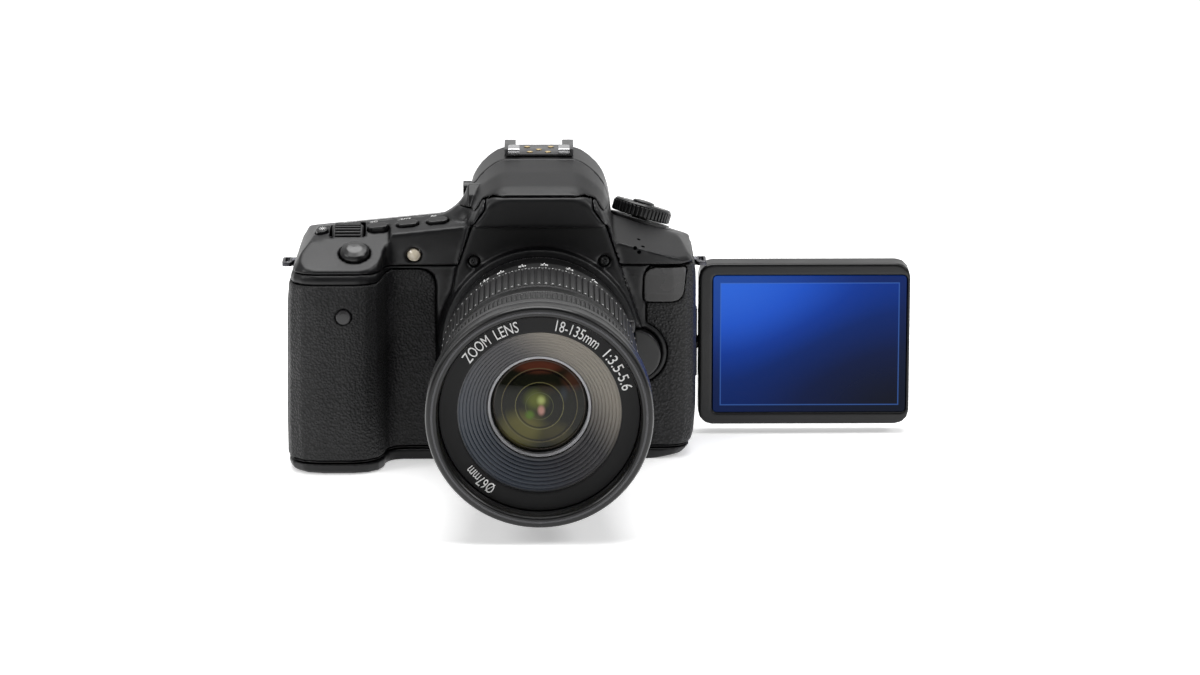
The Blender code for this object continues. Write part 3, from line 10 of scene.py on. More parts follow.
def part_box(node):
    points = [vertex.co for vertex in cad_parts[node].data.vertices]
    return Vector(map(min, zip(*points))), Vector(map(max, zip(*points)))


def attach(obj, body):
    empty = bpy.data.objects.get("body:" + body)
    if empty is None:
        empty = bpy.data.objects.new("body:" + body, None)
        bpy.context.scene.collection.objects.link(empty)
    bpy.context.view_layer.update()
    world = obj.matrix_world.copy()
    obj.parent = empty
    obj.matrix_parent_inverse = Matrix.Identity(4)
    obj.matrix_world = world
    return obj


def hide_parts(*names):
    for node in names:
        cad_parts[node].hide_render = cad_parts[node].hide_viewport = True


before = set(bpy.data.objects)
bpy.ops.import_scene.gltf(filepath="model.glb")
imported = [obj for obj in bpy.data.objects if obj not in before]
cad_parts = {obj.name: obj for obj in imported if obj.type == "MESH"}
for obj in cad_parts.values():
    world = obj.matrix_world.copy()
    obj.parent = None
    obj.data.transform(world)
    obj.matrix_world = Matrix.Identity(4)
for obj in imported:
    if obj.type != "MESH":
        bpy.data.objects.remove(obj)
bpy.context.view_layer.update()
mm = 0.001
axisZ = 43.5 * mm          # lens axis above the base
world = bpy.context.scene.world or bpy.data.worlds.new("studio")
bpy.context.scene.world = world
bpy.context.scene.view_settings.view_transform = "Standard"
madeOf = {}                # piece name to object, for placing marks on a surface
print("frame loaded")


def linear(r, g, b):
    def one(c):
        c /= 255
        return c / 12.92 if c <= 0.04045 else ((c + 0.055) / 1.055) ** 2.4
    return (one(r), one(g), one(b), 1.0)


def newGroup(name, inputs, outputs):
    group = bpy.data.node_groups.new(name, "ShaderNodeTree")
    for label, kind, value in inputs:
        socket = group.interface.new_socket(label, in_out="INPUT", socket_type=kind)
        socket.default_value = value
    for label, kind in outputs:
        group.interface.new_socket(label, in_out="OUTPUT", socket_type=kind)
    return group, group.nodes.new("NodeGroupInput"), group.nodes.new("NodeGroupOutput")


def wire(tree, start, end):
    tree.links.new(start, end)


def mathNode(tree, operation, a, b=None, clamp=False):
    node = tree.nodes.new("ShaderNodeMath")
    node.operation, node.use_clamp = operation, clamp
    for socket, value in zip(node.inputs, (a, b)):
        if isinstance(value, (int, float)):
            socket.default_value = value
        elif value is not None:
            wire(tree, value, socket)
    return node.outputs[0]


def stretch(tree, value, low, high, toLow=0.0, toHigh=1.0):
    node = tree.nodes.new("ShaderNodeMapRange")
    node.interpolation_type = "SMOOTHSTEP"
    wire(tree, value, node.inputs["Value"])
    for label, number in (("From Min", low), ("From Max", high), ("To Min", toLow), ("To Max", toHigh)):
        node.inputs[label].default_value = number
    return node.outputs[0]


def leatherGroup():     # pebbled leather: raised cells with worn tops and soft valleys
    group, start, end = newGroup(
        "leatherGrain", [("Cell size", "NodeSocketFloat", 0.9 * mm), ("Wander", "NodeSocketFloat", 0.35)],
        [("Height", "NodeSocketFloat"), ("Valley", "NodeSocketFloat")])
    where = group.nodes.new("ShaderNodeTexCoord").outputs["Object"]
    count = mathNode(group, "DIVIDE", 1.0, start.outputs["Cell size"])
    drift = group.nodes.new("ShaderNodeTexNoise")
    wire(group, where, drift.inputs["Vector"])
    wire(group, mathNode(group, "MULTIPLY", count, 0.6), drift.inputs["Scale"])
    shift = group.nodes.new("ShaderNodeVectorMath")
    shift.operation = "SCALE"
    wire(group, drift.outputs["Color"], shift.inputs[0])
    wire(group, mathNode(group, "MULTIPLY", start.outputs["Wander"], start.outputs["Cell size"]),
         shift.inputs["Scale"])
    moved = group.nodes.new("ShaderNodeVectorMath")
    wire(group, where, moved.inputs[0])
    wire(group, shift.outputs[0], moved.inputs[1])
    cells = group.nodes.new("ShaderNodeTexVoronoi")
    cells.feature = "SMOOTH_F1"
    cells.inputs["Smoothness"].default_value = 0.35
    wire(group, moved.outputs[0], cells.inputs["Vector"])
    wire(group, count, cells.inputs["Scale"])
    dome = stretch(group, cells.outputs["Distance"], 0.1, 0.85, 1.0, 0.0)
    wire(group, dome, end.inputs["Height"])
    wire(group, stretch(group, dome, 0.25, 0.75, 1.0, 0.0), end.inputs["Valley"])
    return group


def mouldGroup():       # spark-eroded mould finish: a very fine grain with a slow mottling
    group, start, end = newGroup(
        "mouldedGrain", [("Grain size", "NodeSocketFloat", 0.16 * mm)],
        [("Height", "NodeSocketFloat"), ("Mottle", "NodeSocketFloat")])
    where = group.nodes.new("ShaderNodeTexCoord").outputs["Object"]
    fine = group.nodes.new("ShaderNodeTexNoise")
    fine.inputs["Detail"].default_value = 2.0
    wire(group, where, fine.inputs["Vector"])
    wire(group, mathNode(group, "DIVIDE", 1.0, start.outputs["Grain size"]), fine.inputs["Scale"])
    slow = group.nodes.new("ShaderNodeTexNoise")
    slow.inputs["Scale"].default_value = 45.0
    slow.inputs["Detail"].default_value = 4.0
    wire(group, where, slow.inputs["Vector"])
    wire(group, fine.outputs["Fac"], end.inputs["Height"])
    wire(group, stretch(group, slow.outputs["Fac"], 0.3, 0.7), end.inputs["Mottle"])
    return group


def wearAndHighlightGroup():        # handling polishes the edges: a broken mask along convex edges; on the baffle the same mask paints a highlight along each step edge
    group, start, end = newGroup("edgeWearAndHighlight", [("Reach", "NodeSocketFloat", 0.5)],
                                 [("Edge", "NodeSocketFloat")])
    shape = group.nodes.new("ShaderNodeNewGeometry")
    edge = stretch(group, shape.outputs["Pointiness"], 0.52, 0.62)
    patches = group.nodes.new("ShaderNodeTexNoise")
    patches.inputs["Scale"].default_value = 160.0
    wire(group, group.nodes.new("ShaderNodeTexCoord").outputs["Object"], patches.inputs["Vector"])
    bitten = stretch(group, patches.outputs["Fac"], 0.35, 0.6, 0.4, 1.0)
    broken = mathNode(group, "MULTIPLY", edge, bitten)
    wire(group, mathNode(group, "MULTIPLY", broken, start.outputs["Reach"], clamp=True),
         end.inputs["Edge"])
    return group


def dustGroup():        # a trace of dust on what faces up
    group, start, end = newGroup("restingDust", [("Amount", "NodeSocketFloat", 0.1)],
                                 [("Dust", "NodeSocketFloat")])
    shape = group.nodes.new("ShaderNodeNewGeometry")
    parts = group.nodes.new("ShaderNodeSeparateXYZ")
    wire(group, shape.outputs["Normal"], parts.inputs[0])
    specks = group.nodes.new("ShaderNodeTexNoise")
    specks.inputs["Scale"].default_value = 900.0
    specks.inputs["Detail"].default_value = 5.0
    wire(group, group.nodes.new("ShaderNodeTexCoord").outputs["Object"], specks.inputs["Vector"])
    lying = mathNode(group, "MULTIPLY", stretch(group, parts.outputs[2], 0.5, 1.0),
                     stretch(group, specks.outputs["Fac"], 0.5, 0.8))
    wire(group, mathNode(group, "MULTIPLY", lying, start.outputs["Amount"], clamp=True),
         end.inputs["Dust"])
    return group


leather, mould, wearAndHighlight, dust = leatherGroup(), mouldGroup(), wearAndHighlightGroup(), dustGroup()


def mixColour(tree, amount, a, b):
    node = tree.nodes.new("ShaderNodeMix")
    node.data_type = "RGBA"
    for socket, value in ((node.inputs[0], amount), (node.inputs[6], a), (node.inputs[7], b)):
        if isinstance(value, (int, float, tuple)):
            socket.default_value = value
        else:
            wire(tree, value, socket)
    return node.outputs[2]


def newMaterial(name, **plain):
    material = bpy.data.materials.new(name)
    material.use_nodes = True
    tree = material.node_tree
    surface = tree.nodes["Principled BSDF"]
    for label, value in plain.items():
        surface.inputs[label.replace("_", " ")].default_value = value
    return material, tree, surface


def groupNode(tree, group, **values):
    node = tree.nodes.new("ShaderNodeGroup")
    node.node_tree = group
    for label, value in values.items():
        node.inputs[label.replace("_", " ")].default_value = value
    return node


def bump(tree, surface, height, distance):
    node = tree.nodes.new("ShaderNodeBump")
    node.inputs["Distance"].default_value = distance
    node.inputs["Strength"].default_value = 1.0
    wire(tree, height, node.inputs["Height"])
    wire(tree, node.outputs[0], surface.inputs["Normal"])


def plastic(name, colour, worn, rough, grain=0.16 * mm, depth=0.012 * mm, polish=0.12, dusty=0.08,
            **plain):
    material, tree, surface = newMaterial(name, **plain)
    skin = groupNode(tree, mould, Grain_size=grain)
    edge = groupNode(tree, wearAndHighlight, Reach=0.55)
    film = groupNode(tree, dust, Amount=dusty)
    darker = tuple(c * 0.82 for c in colour[:3]) + (1.0,)
    base = mixColour(tree, skin.outputs["Mottle"], darker, colour)
    base = mixColour(tree, edge.outputs["Edge"], base, worn)
    base = mixColour(tree, film.outputs["Dust"], base, linear(150, 146, 140))
    wire(tree, base, surface.inputs["Base Color"])
    varied = mathNode(tree, "ADD", mathNode(tree, "MULTIPLY", skin.outputs["Mottle"], 0.06), rough - 0.03)
    varied = mathNode(tree, "SUBTRACT", varied, mathNode(tree, "MULTIPLY", edge.outputs["Edge"], polish))
    wire(tree, varied, surface.inputs["Roughness"])
    bump(tree, surface, skin.outputs["Height"], depth)
    return material


def hide(name, colour, top, cell, depth, rough):
    material, tree, surface = newMaterial(name)
    surface.inputs["Specular IOR Level"].default_value = 0.42
    skin = groupNode(tree, leather, Cell_size=cell)
    fine = groupNode(tree, mould, Grain_size=0.1 * mm)
    edge = groupNode(tree, wearAndHighlight, Reach=0.5)
    film = groupNode(tree, dust, Amount=0.07)
    base = mixColour(tree, skin.outputs["Valley"], top, colour)
    base = mixColour(tree, edge.outputs["Edge"], base, tuple(c * 1.5 for c in top[:3]) + (1.0,))
    base = mixColour(tree, film.outputs["Dust"], base, linear(140, 138, 134))
    wire(tree, base, surface.inputs["Base Color"])
    satin = mathNode(tree, "ADD", mathNode(tree, "MULTIPLY", fine.outputs["Mottle"], 0.08), rough)
    wire(tree, mathNode(tree, "ADD", mathNode(tree, "MULTIPLY", skin.outputs["Valley"], 0.16), satin),
         surface.inputs["Roughness"])
    height = mathNode(tree, "ADD", skin.outputs["Height"],
                      mathNode(tree, "MULTIPLY", fine.outputs["Height"], 0.12))
    bump(tree, surface, height, depth)
    return material


def metal(name, colour, rough, streak=0.1):
    material, tree, surface = newMaterial(name, Metallic=1.0)
    skin = groupNode(tree, mould, Grain_size=0.35 * mm)
    edge = groupNode(tree, wearAndHighlight, Reach=0.8)
    dim = tuple(c * 0.7 for c in colour[:3]) + (1.0,)
    wire(tree, mixColour(tree, edge.outputs["Edge"], mixColour(tree, skin.outputs["Mottle"], dim, colour),
                         (0.85, 0.85, 0.86, 1)), surface.inputs["Base Color"])
    wire(tree, mathNode(tree, "ADD", mathNode(tree, "MULTIPLY", skin.outputs["Height"], streak), rough),
         surface.inputs["Roughness"])
    bump(tree, surface, skin.outputs["Height"], 0.004 * mm)
    return material


finishes = {
    "shell": plastic("satinShell", linear(9, 9, 11), linear(30, 30, 34), 0.4, dusty=0.02,
                     Specular_IOR_Level=0.38),
    "lensShell": plastic("lensShell", linear(9, 9, 10), linear(34, 34, 37), 0.3, dusty=0.02,
                         Specular_IOR_Level=0.42, grain=0.12 * mm, depth=0.006 * mm),
    "screenShell": plastic("screenShell", linear(8, 8, 9), linear(28, 28, 31), 0.34, dusty=0.02,
                           Specular_IOR_Level=0.4, depth=0.008 * mm),
    "gripRubber": hide("gripRubber", linear(7, 7, 8), linear(14, 14, 16), 0.85 * mm, 0.2 * mm, 0.42),
    "ringRubber": plastic("ringRubber", linear(8, 8, 9), linear(26, 26, 28), 0.46, dusty=0.03,
                          grain=0.1 * mm, polish=0.08),
    "softRubber": plastic("softRubber", linear(12, 12, 13), linear(34, 34, 36), 0.7, grain=0.12 * mm,
                          polish=0.05),
    "gloss": plastic("glossBlack", linear(8, 8, 9), linear(60, 60, 62), 0.3, depth=0.002 * mm,
                     polish=0.02, Coat_Weight=0.3, Coat_Roughness=0.22),
    "button": plastic("buttonBlack", linear(13, 13, 14), linear(70, 70, 73), 0.3, depth=0.004 * mm,
                      polish=0.08),
    "badge": plastic("badgePlate", linear(40, 39, 39), linear(96, 95, 94), 0.26, grain=0.3 * mm,
                     depth=0.003 * mm),
    "inside": plastic("insideBlack", linear(12, 12, 13), linear(22, 22, 23), 0.75, dusty=0.02),
    "steel": metal("satinSteel", (0.62, 0.62, 0.63, 1), 0.22),
    "darkSteel": metal("darkSteel", (0.09, 0.09, 0.10, 1), 0.3),
    "shoeBlack": plastic("shoeBlack", linear(17, 17, 18), linear(64, 64, 66), 0.34, depth=0.003 * mm,
                         dusty=0.03),
    # near-black discs with no sheen paint the shade inside the sound holes
    "dark": plastic("paintedHoleShade", linear(2, 2, 3), linear(5, 5, 6), 0.9, depth=0.002 * mm, dusty=0.0,
                    Specular_IOR_Level=0.0),
    "smoked": plastic("smokedWindow", linear(26, 25, 27), linear(44, 42, 44), 0.24, depth=0.002 * mm,
                      dusty=0.0),
    "nameBlack": plastic("nameRingBlack", linear(6, 6, 7), linear(20, 20, 22), 0.5, depth=0.002 * mm,
                         dusty=0.0, Specular_IOR_Level=0.25),
    "screw": plastic("screwBlack", linear(14, 14, 15), linear(70, 70, 72), 0.36, depth=0.002 * mm,
                     dusty=0.02),
    "gold": metal("contactGold", (0.83, 0.62, 0.28, 1), 0.2),
    "lamp": plastic("milkyLamp", linear(206, 194, 172), linear(236, 228, 212), 0.2, depth=0.002 * mm,
                    polish=0.0, Coat_Weight=0.5),
    "ink": plastic("whiteInk", linear(222, 222, 220), linear(236, 236, 236), 0.5, depth=0.003 * mm,
                   polish=0.0),
    "paleInk": plastic("paleInk", linear(150, 150, 150), linear(170, 170, 170), 0.5, depth=0.003 * mm,
                       polish=0.0),
    "board": plastic("boardGreen", linear(24, 70, 44), linear(60, 120, 84), 0.4),
    "cell": plastic("batterySleeve", linear(46, 47, 50), linear(70, 70, 72), 0.4),
    "white": plastic("diffuserWhite", linear(200, 202, 204), linear(230, 230, 230), 0.25, depth=0.01 * mm,
                     polish=0.0),
}


def glassFinish(name, colour, rough, coat):     # coated optics: dark body with a tinted reflection
    material, tree, surface = newMaterial(name, Roughness=rough, Coat_Weight=1.0, Coat_Roughness=0.02)
    surface.inputs["Coat Tint"].default_value = coat
    skin = groupNode(tree, mould, Grain_size=3.0 * mm)
    dim = tuple(c * 0.6 for c in colour[:3]) + (1.0,)
    wire(tree, mixColour(tree, skin.outputs["Mottle"], dim, colour), surface.inputs["Base Color"])
    return material


finishes["prismGlass"] = glassFinish("prismGlass", (0.02, 0.022, 0.03, 1), 0.03, (0.8, 0.85, 1.0, 1))
finishes["sensorGlass"] = glassFinish("sensorGlass", (0.03, 0.06, 0.05, 1), 0.05, (0.7, 1.0, 0.85, 1))
finishes["mirror"] = metal("frontSilver", (0.88, 0.88, 0.9, 1), 0.02, 0.02)
print("finishes ready")


def facing(point, normal):
    turn = Vector(normal).normalized().to_track_quat("Z", "Y")
    return Matrix.Translation(Vector(point)) @ turn.to_matrix().to_4x4()


def along(matrix, direction):       # same origin and normal, with local X turned to a direction
    z = matrix.col[2].xyz
    x = (Vector(direction) - z * z.dot(Vector(direction))).normalized()
    y = z.cross(x)
    return Matrix(((x.x, y.x, z.x, matrix[0][3]), (x.y, y.y, z.y, matrix[1][3]),
                   (x.z, y.z, z.z, matrix[2][3]), (0, 0, 0, 1)))


def keepPiece(name, mesh, finish, body, nodes=(), sharp=38):
    mesh.materials.clear()
    mesh.materials.append(finishes[finish])
    mesh.polygons.foreach_set("use_smooth", [True] * len(mesh.polygons))
    mesh.set_sharp_from_angle(angle=math.radians(sharp))
    piece = bpy.data.objects.new(name, mesh)
    bpy.context.scene.collection.objects.link(piece)
    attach(piece, body)
    for node in nodes:
        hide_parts(node)
    madeOf[name] = piece
    return piece


def meshFrom(name, points, faces):
    mesh = bpy.data.meshes.new(name)
    mesh.from_pydata([tuple(p) for p in points], [], faces)
    mesh.validate()
    return mesh


def withModifiers(mesh, *steps):    # runs modifiers on a mesh and gives back the result
    holder = bpy.data.objects.new("holder", mesh)
    bpy.context.scene.collection.objects.link(holder)
    for kind, values in steps:
        modifier = holder.modifiers.new(kind, kind)
        for label, value in values.items():
            setattr(modifier, label, value)
    bpy.context.view_layer.update()
    done = bpy.data.meshes.new_from_object(holder.evaluated_get(bpy.context.evaluated_depsgraph_get()))
    bpy.data.objects.remove(holder)
    return done


def edgeBevel(width):       # a modifier step that rounds every sharp edge
    return ("BEVEL", {"width": width * mm, "segments": 2, "limit_method": "ANGLE"})


# evens out gentle facets and leaves what turns faster than hold degrees
def relax(mesh, rounds, hold):
    count = len(mesh.vertices)
    points = np.empty(count * 3)
    mesh.vertices.foreach_get("co", points)
    points = points.reshape(-1, 3)
    ends = np.empty(len(mesh.edges) * 2, dtype=np.int64)
    mesh.edges.foreach_get("vertices", ends)
    a, b = ends[0::2], ends[1::2]
    degree = np.maximum(np.bincount(a, minlength=count) + np.bincount(b, minlength=count), 1)

    def around(values):
        sums = [np.bincount(a, values[b, i], count) + np.bincount(b, values[a, i], count)
                for i in range(3)]
        return np.stack([total / degree for total in sums], axis=1)

    for _ in range(3):
        points += (around(points) - points) * 0.5
    mesh.vertices.foreach_set("co", points.ravel())
    mesh.update()
    normals = np.empty(count * 3)
    mesh.vertices.foreach_get("normal", normals)
    normals = normals.reshape(-1, 3)
    turn = np.degrees(np.arccos(np.clip((normals[a] * normals[b]).sum(1), -1, 1)))
    most = np.zeros(count)
    np.maximum.at(most, a, turn)
    np.maximum.at(most, b, turn)
    for _ in range(2):
        spread = most.copy()
        np.maximum.at(spread, a, most[b])
        np.maximum.at(spread, b, most[a])
        most = spread
    free = np.clip((hold - most) / (hold * 0.5), 0.0, 1.0)[:, None] * 0.6
    for _ in range(rounds):
        points += (around(points) - points) * free
    mesh.vertices.foreach_set("co", points.ravel())
    mesh.update()


# a solid of the frame, made soft and smooth
def moulded(name, node, finish, body, voxel, rounds=30, hold=11):
    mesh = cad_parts[node].data.copy()
    size = voxel * mm * 1.0
    mesh = withModifiers(mesh, ("REMESH", {"mode": "VOXEL", "voxel_size": size}))
    relax(mesh, rounds, hold)
    return keepPiece(name, mesh, finish, body, (node,), sharp=60)


def bevelled(name, node, finish, body, width, sharp=34):
    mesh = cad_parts[node].data.copy()
    work = bmesh.new()
    work.from_mesh(mesh)
    bmesh.ops.remove_doubles(work, verts=work.verts, dist=0.004 * mm)
    bmesh.ops.dissolve_limit(work, angle_limit=math.radians(1.0), verts=work.verts, edges=work.edges)
    work.to_mesh(mesh)
    work.free()
    mesh = withModifiers(mesh, ("BEVEL", {"width": width * mm, "segments": 3, "limit_method": "ANGLE",
                                          "angle_limit": math.radians(sharp), "use_clamp_overlap": True}))
    return keepPiece(name, mesh, finish, body, (node,), sharp=30)


# a profile of (radius, height) turned about local Z
def lathe(profile, matrix, segments=180, closed=True):
    points, faces = [], []
    for step in range(segments):
        angle = 2 * math.pi * step / segments
        for r, h in profile:
            points.append(matrix @ Vector((r * math.cos(angle) * mm, r * math.sin(angle) * mm, h * mm)))
    count = len(profile)
    for step in range(segments):
        low, high = step * count, (step + 1) % segments * count
        for i in range(count if closed else count - 1):
            j = (i + 1) % count
            faces.append((low + i, high + i, high + j, low + j))
    mesh = meshFrom("turned", points, faces)
    work = bmesh.new()
    work.from_mesh(mesh)
    bmesh.ops.remove_doubles(work, verts=work.verts, dist=0.0005 * mm)
    bmesh.ops.recalc_face_normals(work, faces=work.faces)
    work.to_mesh(mesh)
    work.free()
    return mesh


quarter = math.radians(90)
# local Z looks along -Y
lensPlace = Matrix.Translation((0, 0, axisZ)) @ Matrix.Rotation(quarter, 4, "X")


def softProfile(corners, radius, steps=3):      # rounds each corner of a closed profile by at most radius
    out, count = [], len(corners)
    for i in range(count):
        before, here, after = (Vector(corners[(i + k) % count]) for k in (-1, 0, 1))
        reach = min(radius, (before - here).length * 0.45, (after - here).length * 0.45)
        p = here + (before - here).normalized() * reach
        q = here + (after - here).normalized() * reach
        for step in range(steps + 1):
            t = step / steps
            out.append(tuple(p * (1 - t) ** 2 + here * 2 * t * (1 - t) + q * t * t))
    return out


def ribs(matrix, radius, low, high, count, rise, width, narrow=0.6, run=0.5):    # a ring of raised bars
    points, faces = [], []
    for k in range(count):
        angle = math.radians(360.0 * k / count)
        out = Vector((math.cos(angle), math.sin(angle), 0))
        side = Vector((-math.sin(angle), math.cos(angle), 0))
        start = len(points)
        for up, share, end in ((-0.3, 1.0, 0.0), (rise * 0.7, 1.0, run * 0.5), (rise, narrow, run)):
            for across, h in ((-1, low + end), (1, low + end), (1, high - end), (-1, high - end)):
                points.append(matrix @ ((out * (radius + up) + side * across * share * width / 2) * mm
                                        + Vector((0, 0, h * mm))))
        for level in (0, 4):
            for i in range(4):
                j = (i + 1) % 4
                faces.append((start + level + i, start + level + j, start + level + 4 + j,
                              start + level + 4 + i))
        faces.append((start + 8, start + 9, start + 10, start + 11))
        faces.append((start + 3, start + 2, start + 1, start))
    return meshFrom("ribs", points, faces)


def merged(*meshes):
    work = bmesh.new()
    for mesh in meshes:
        work.from_mesh(mesh)
    result = bpy.data.meshes.new("merged")
    work.to_mesh(result)
    work.free()
    return result


def glyphs(text, size, matrix, thick=0.03):     # text as a thin solid lying in the matrix's XY plane
    curve = bpy.data.curves.new("glyphs", "FONT")
    curve.body, curve.size, curve.extrude = text, size * mm, thick * mm
    curve.align_x, curve.align_y = "CENTER", "CENTER"
    curve.resolution_u = 3
    holder = bpy.data.objects.new("glyphs", curve)
    bpy.context.scene.collection.objects.link(holder)
    bpy.context.view_layer.update()
    mesh = bpy.data.meshes.new_from_object(holder.evaluated_get(bpy.context.evaluated_depsgraph_get()))
    bpy.data.objects.remove(holder)
    mesh.transform(matrix)
    return mesh


def bar(matrix, length, width, thick=0.06):      # a short raised stroke with cut corners
    l, w, c = length / 2, width / 2, min(length, width) * 0.25
    outline = [(-l + c, -w), (l - c, -w), (l, -w + c), (l, w - c), (l - c, w), (-l + c, w), (-l, w - c),
               (-l, -w + c)]
    points = [matrix @ Vector((x * mm, y * mm, z * mm)) for z in (-thick, thick) for x, y in outline]
    faces = [tuple(range(8, 16)), tuple(reversed(range(8)))]
    faces += [(i, (i + 1) % 8, (i + 1) % 8 + 8, i + 8) for i in range(8)]
    return meshFrom("bar", points, faces)


def hit(pieceName, start, direction):       # point and normal of a piece's surface, for seating marks
    piece = madeOf[pieceName]
    tree = BVHTree.FromPolygons([v.co.copy() for v in piece.data.vertices],
                                [tuple(p.vertices) for p in piece.data.polygons])
    spots = []
    for s in start:
        place, normal, _, _ = tree.ray_cast(Vector(s) * mm, Vector(direction))
        spots.append(facing(place, normal) if place else None)
    return spots


covers = {                  # piece: node, finish, voxel in mm, smoothing rounds
    "frontCoverShell": ("front_cover", "shell", 0.65, 40),
    "topCoverShell": ("top_cover", "shell", 0.57, 40),
    "rearCoverShell": ("rear_cover", "shell", 0.62, 30),
    "bottomCoverShell": ("bottom_cover", "shell", 0.6, 30),
    "gripHide": ("grip_rubber", "gripRubber", 0.45, 40),
    "sideHide": ("side_rubber", "gripRubber", 0.4, 30),
    "thumbHide": ("thumb_rubber", "gripRubber", 0.4, 30),
    "badgeFace": ("badge_plate", "badge", 0.2, 12),
    "eyecupRubber": ("eyecup", "softRubber", 0.3, 25),
}
for name, (node, finish, voxel, rounds) in covers.items():
    moulded(name, node, finish, "root", voxel, rounds)
print("covers done")

bevelled("shoeFrame", "hot_shoe", "shoeBlack", "root", 0.18)
moulded("lugLeft", "strap_lug_left", "darkSteel", "root", 0.2, 6)
moulded("lugRight", "strap_lug_right", "darkSteel", "root", 0.2, 6)
moulded("flashLid", "flash_head", "shell", "flash_head", 0.36, 40)
moulded("displayCase", "screen_housing", "screenShell", "screen_housing", 0.42,
        12)
moulded("displayArm", "screen_arm", "screenShell", "screen_arm", 0.3, 12)
moulded("cellLid", "battery_door", "shell", "battery_door", 0.28, 12)
moulded("cardLid", "card_door", "shell", "card_door", 0.35, 20)
moulded("portFlap", "terminal_cover", "softRubber", "terminal_cover", 0.35, 20)
buttons = {                 # node and voxel in mm
    "af_button": 0.16,
    "drive_button": 0.16,
    "iso_button": 0.16,
    "light_button": 0.14,
    "shutter_button": 0.16,
    "flash_button": 0.12,
    "menu_button": 0.16,
    "live_view_button": 0.16,
    "set_button": 0.2,
    "depth_preview_button": 0.16,
    "lens_release_button": 0.22,
    "mode_lock_button": 0.16,
    "power_lever": 0.2,
    "dioptre_knob": 0.18,
}
for node, voxel in buttons.items():
    words = node.split("_")
    name = words[0] + "".join(w.capitalize() for w in words[1:]) + "Cap"
    finish = "gloss" if node in ("shutter_button", "mode_lock_button") else "button"
    moulded(name, node, finish, node, voxel, 8)
print("buttons done")


zoomParts = {"back": 58.3, "front": 98.0, "ribCount": 92, "ribFrom": 69.5, "ribTo": 93.5}
focusParts = {"back": 112.0, "front": 130.4, "ribCount": 136, "ribFrom": 114.2, "ribTo": 122.6}
baffleParts = {"steps": 8, "outer": 26.7, "narrowing": 9.2, "front": 136.2, "fall": 6.0}
threadParts = {"turns": 7, "pitch": 0.75, "front": 143.6}


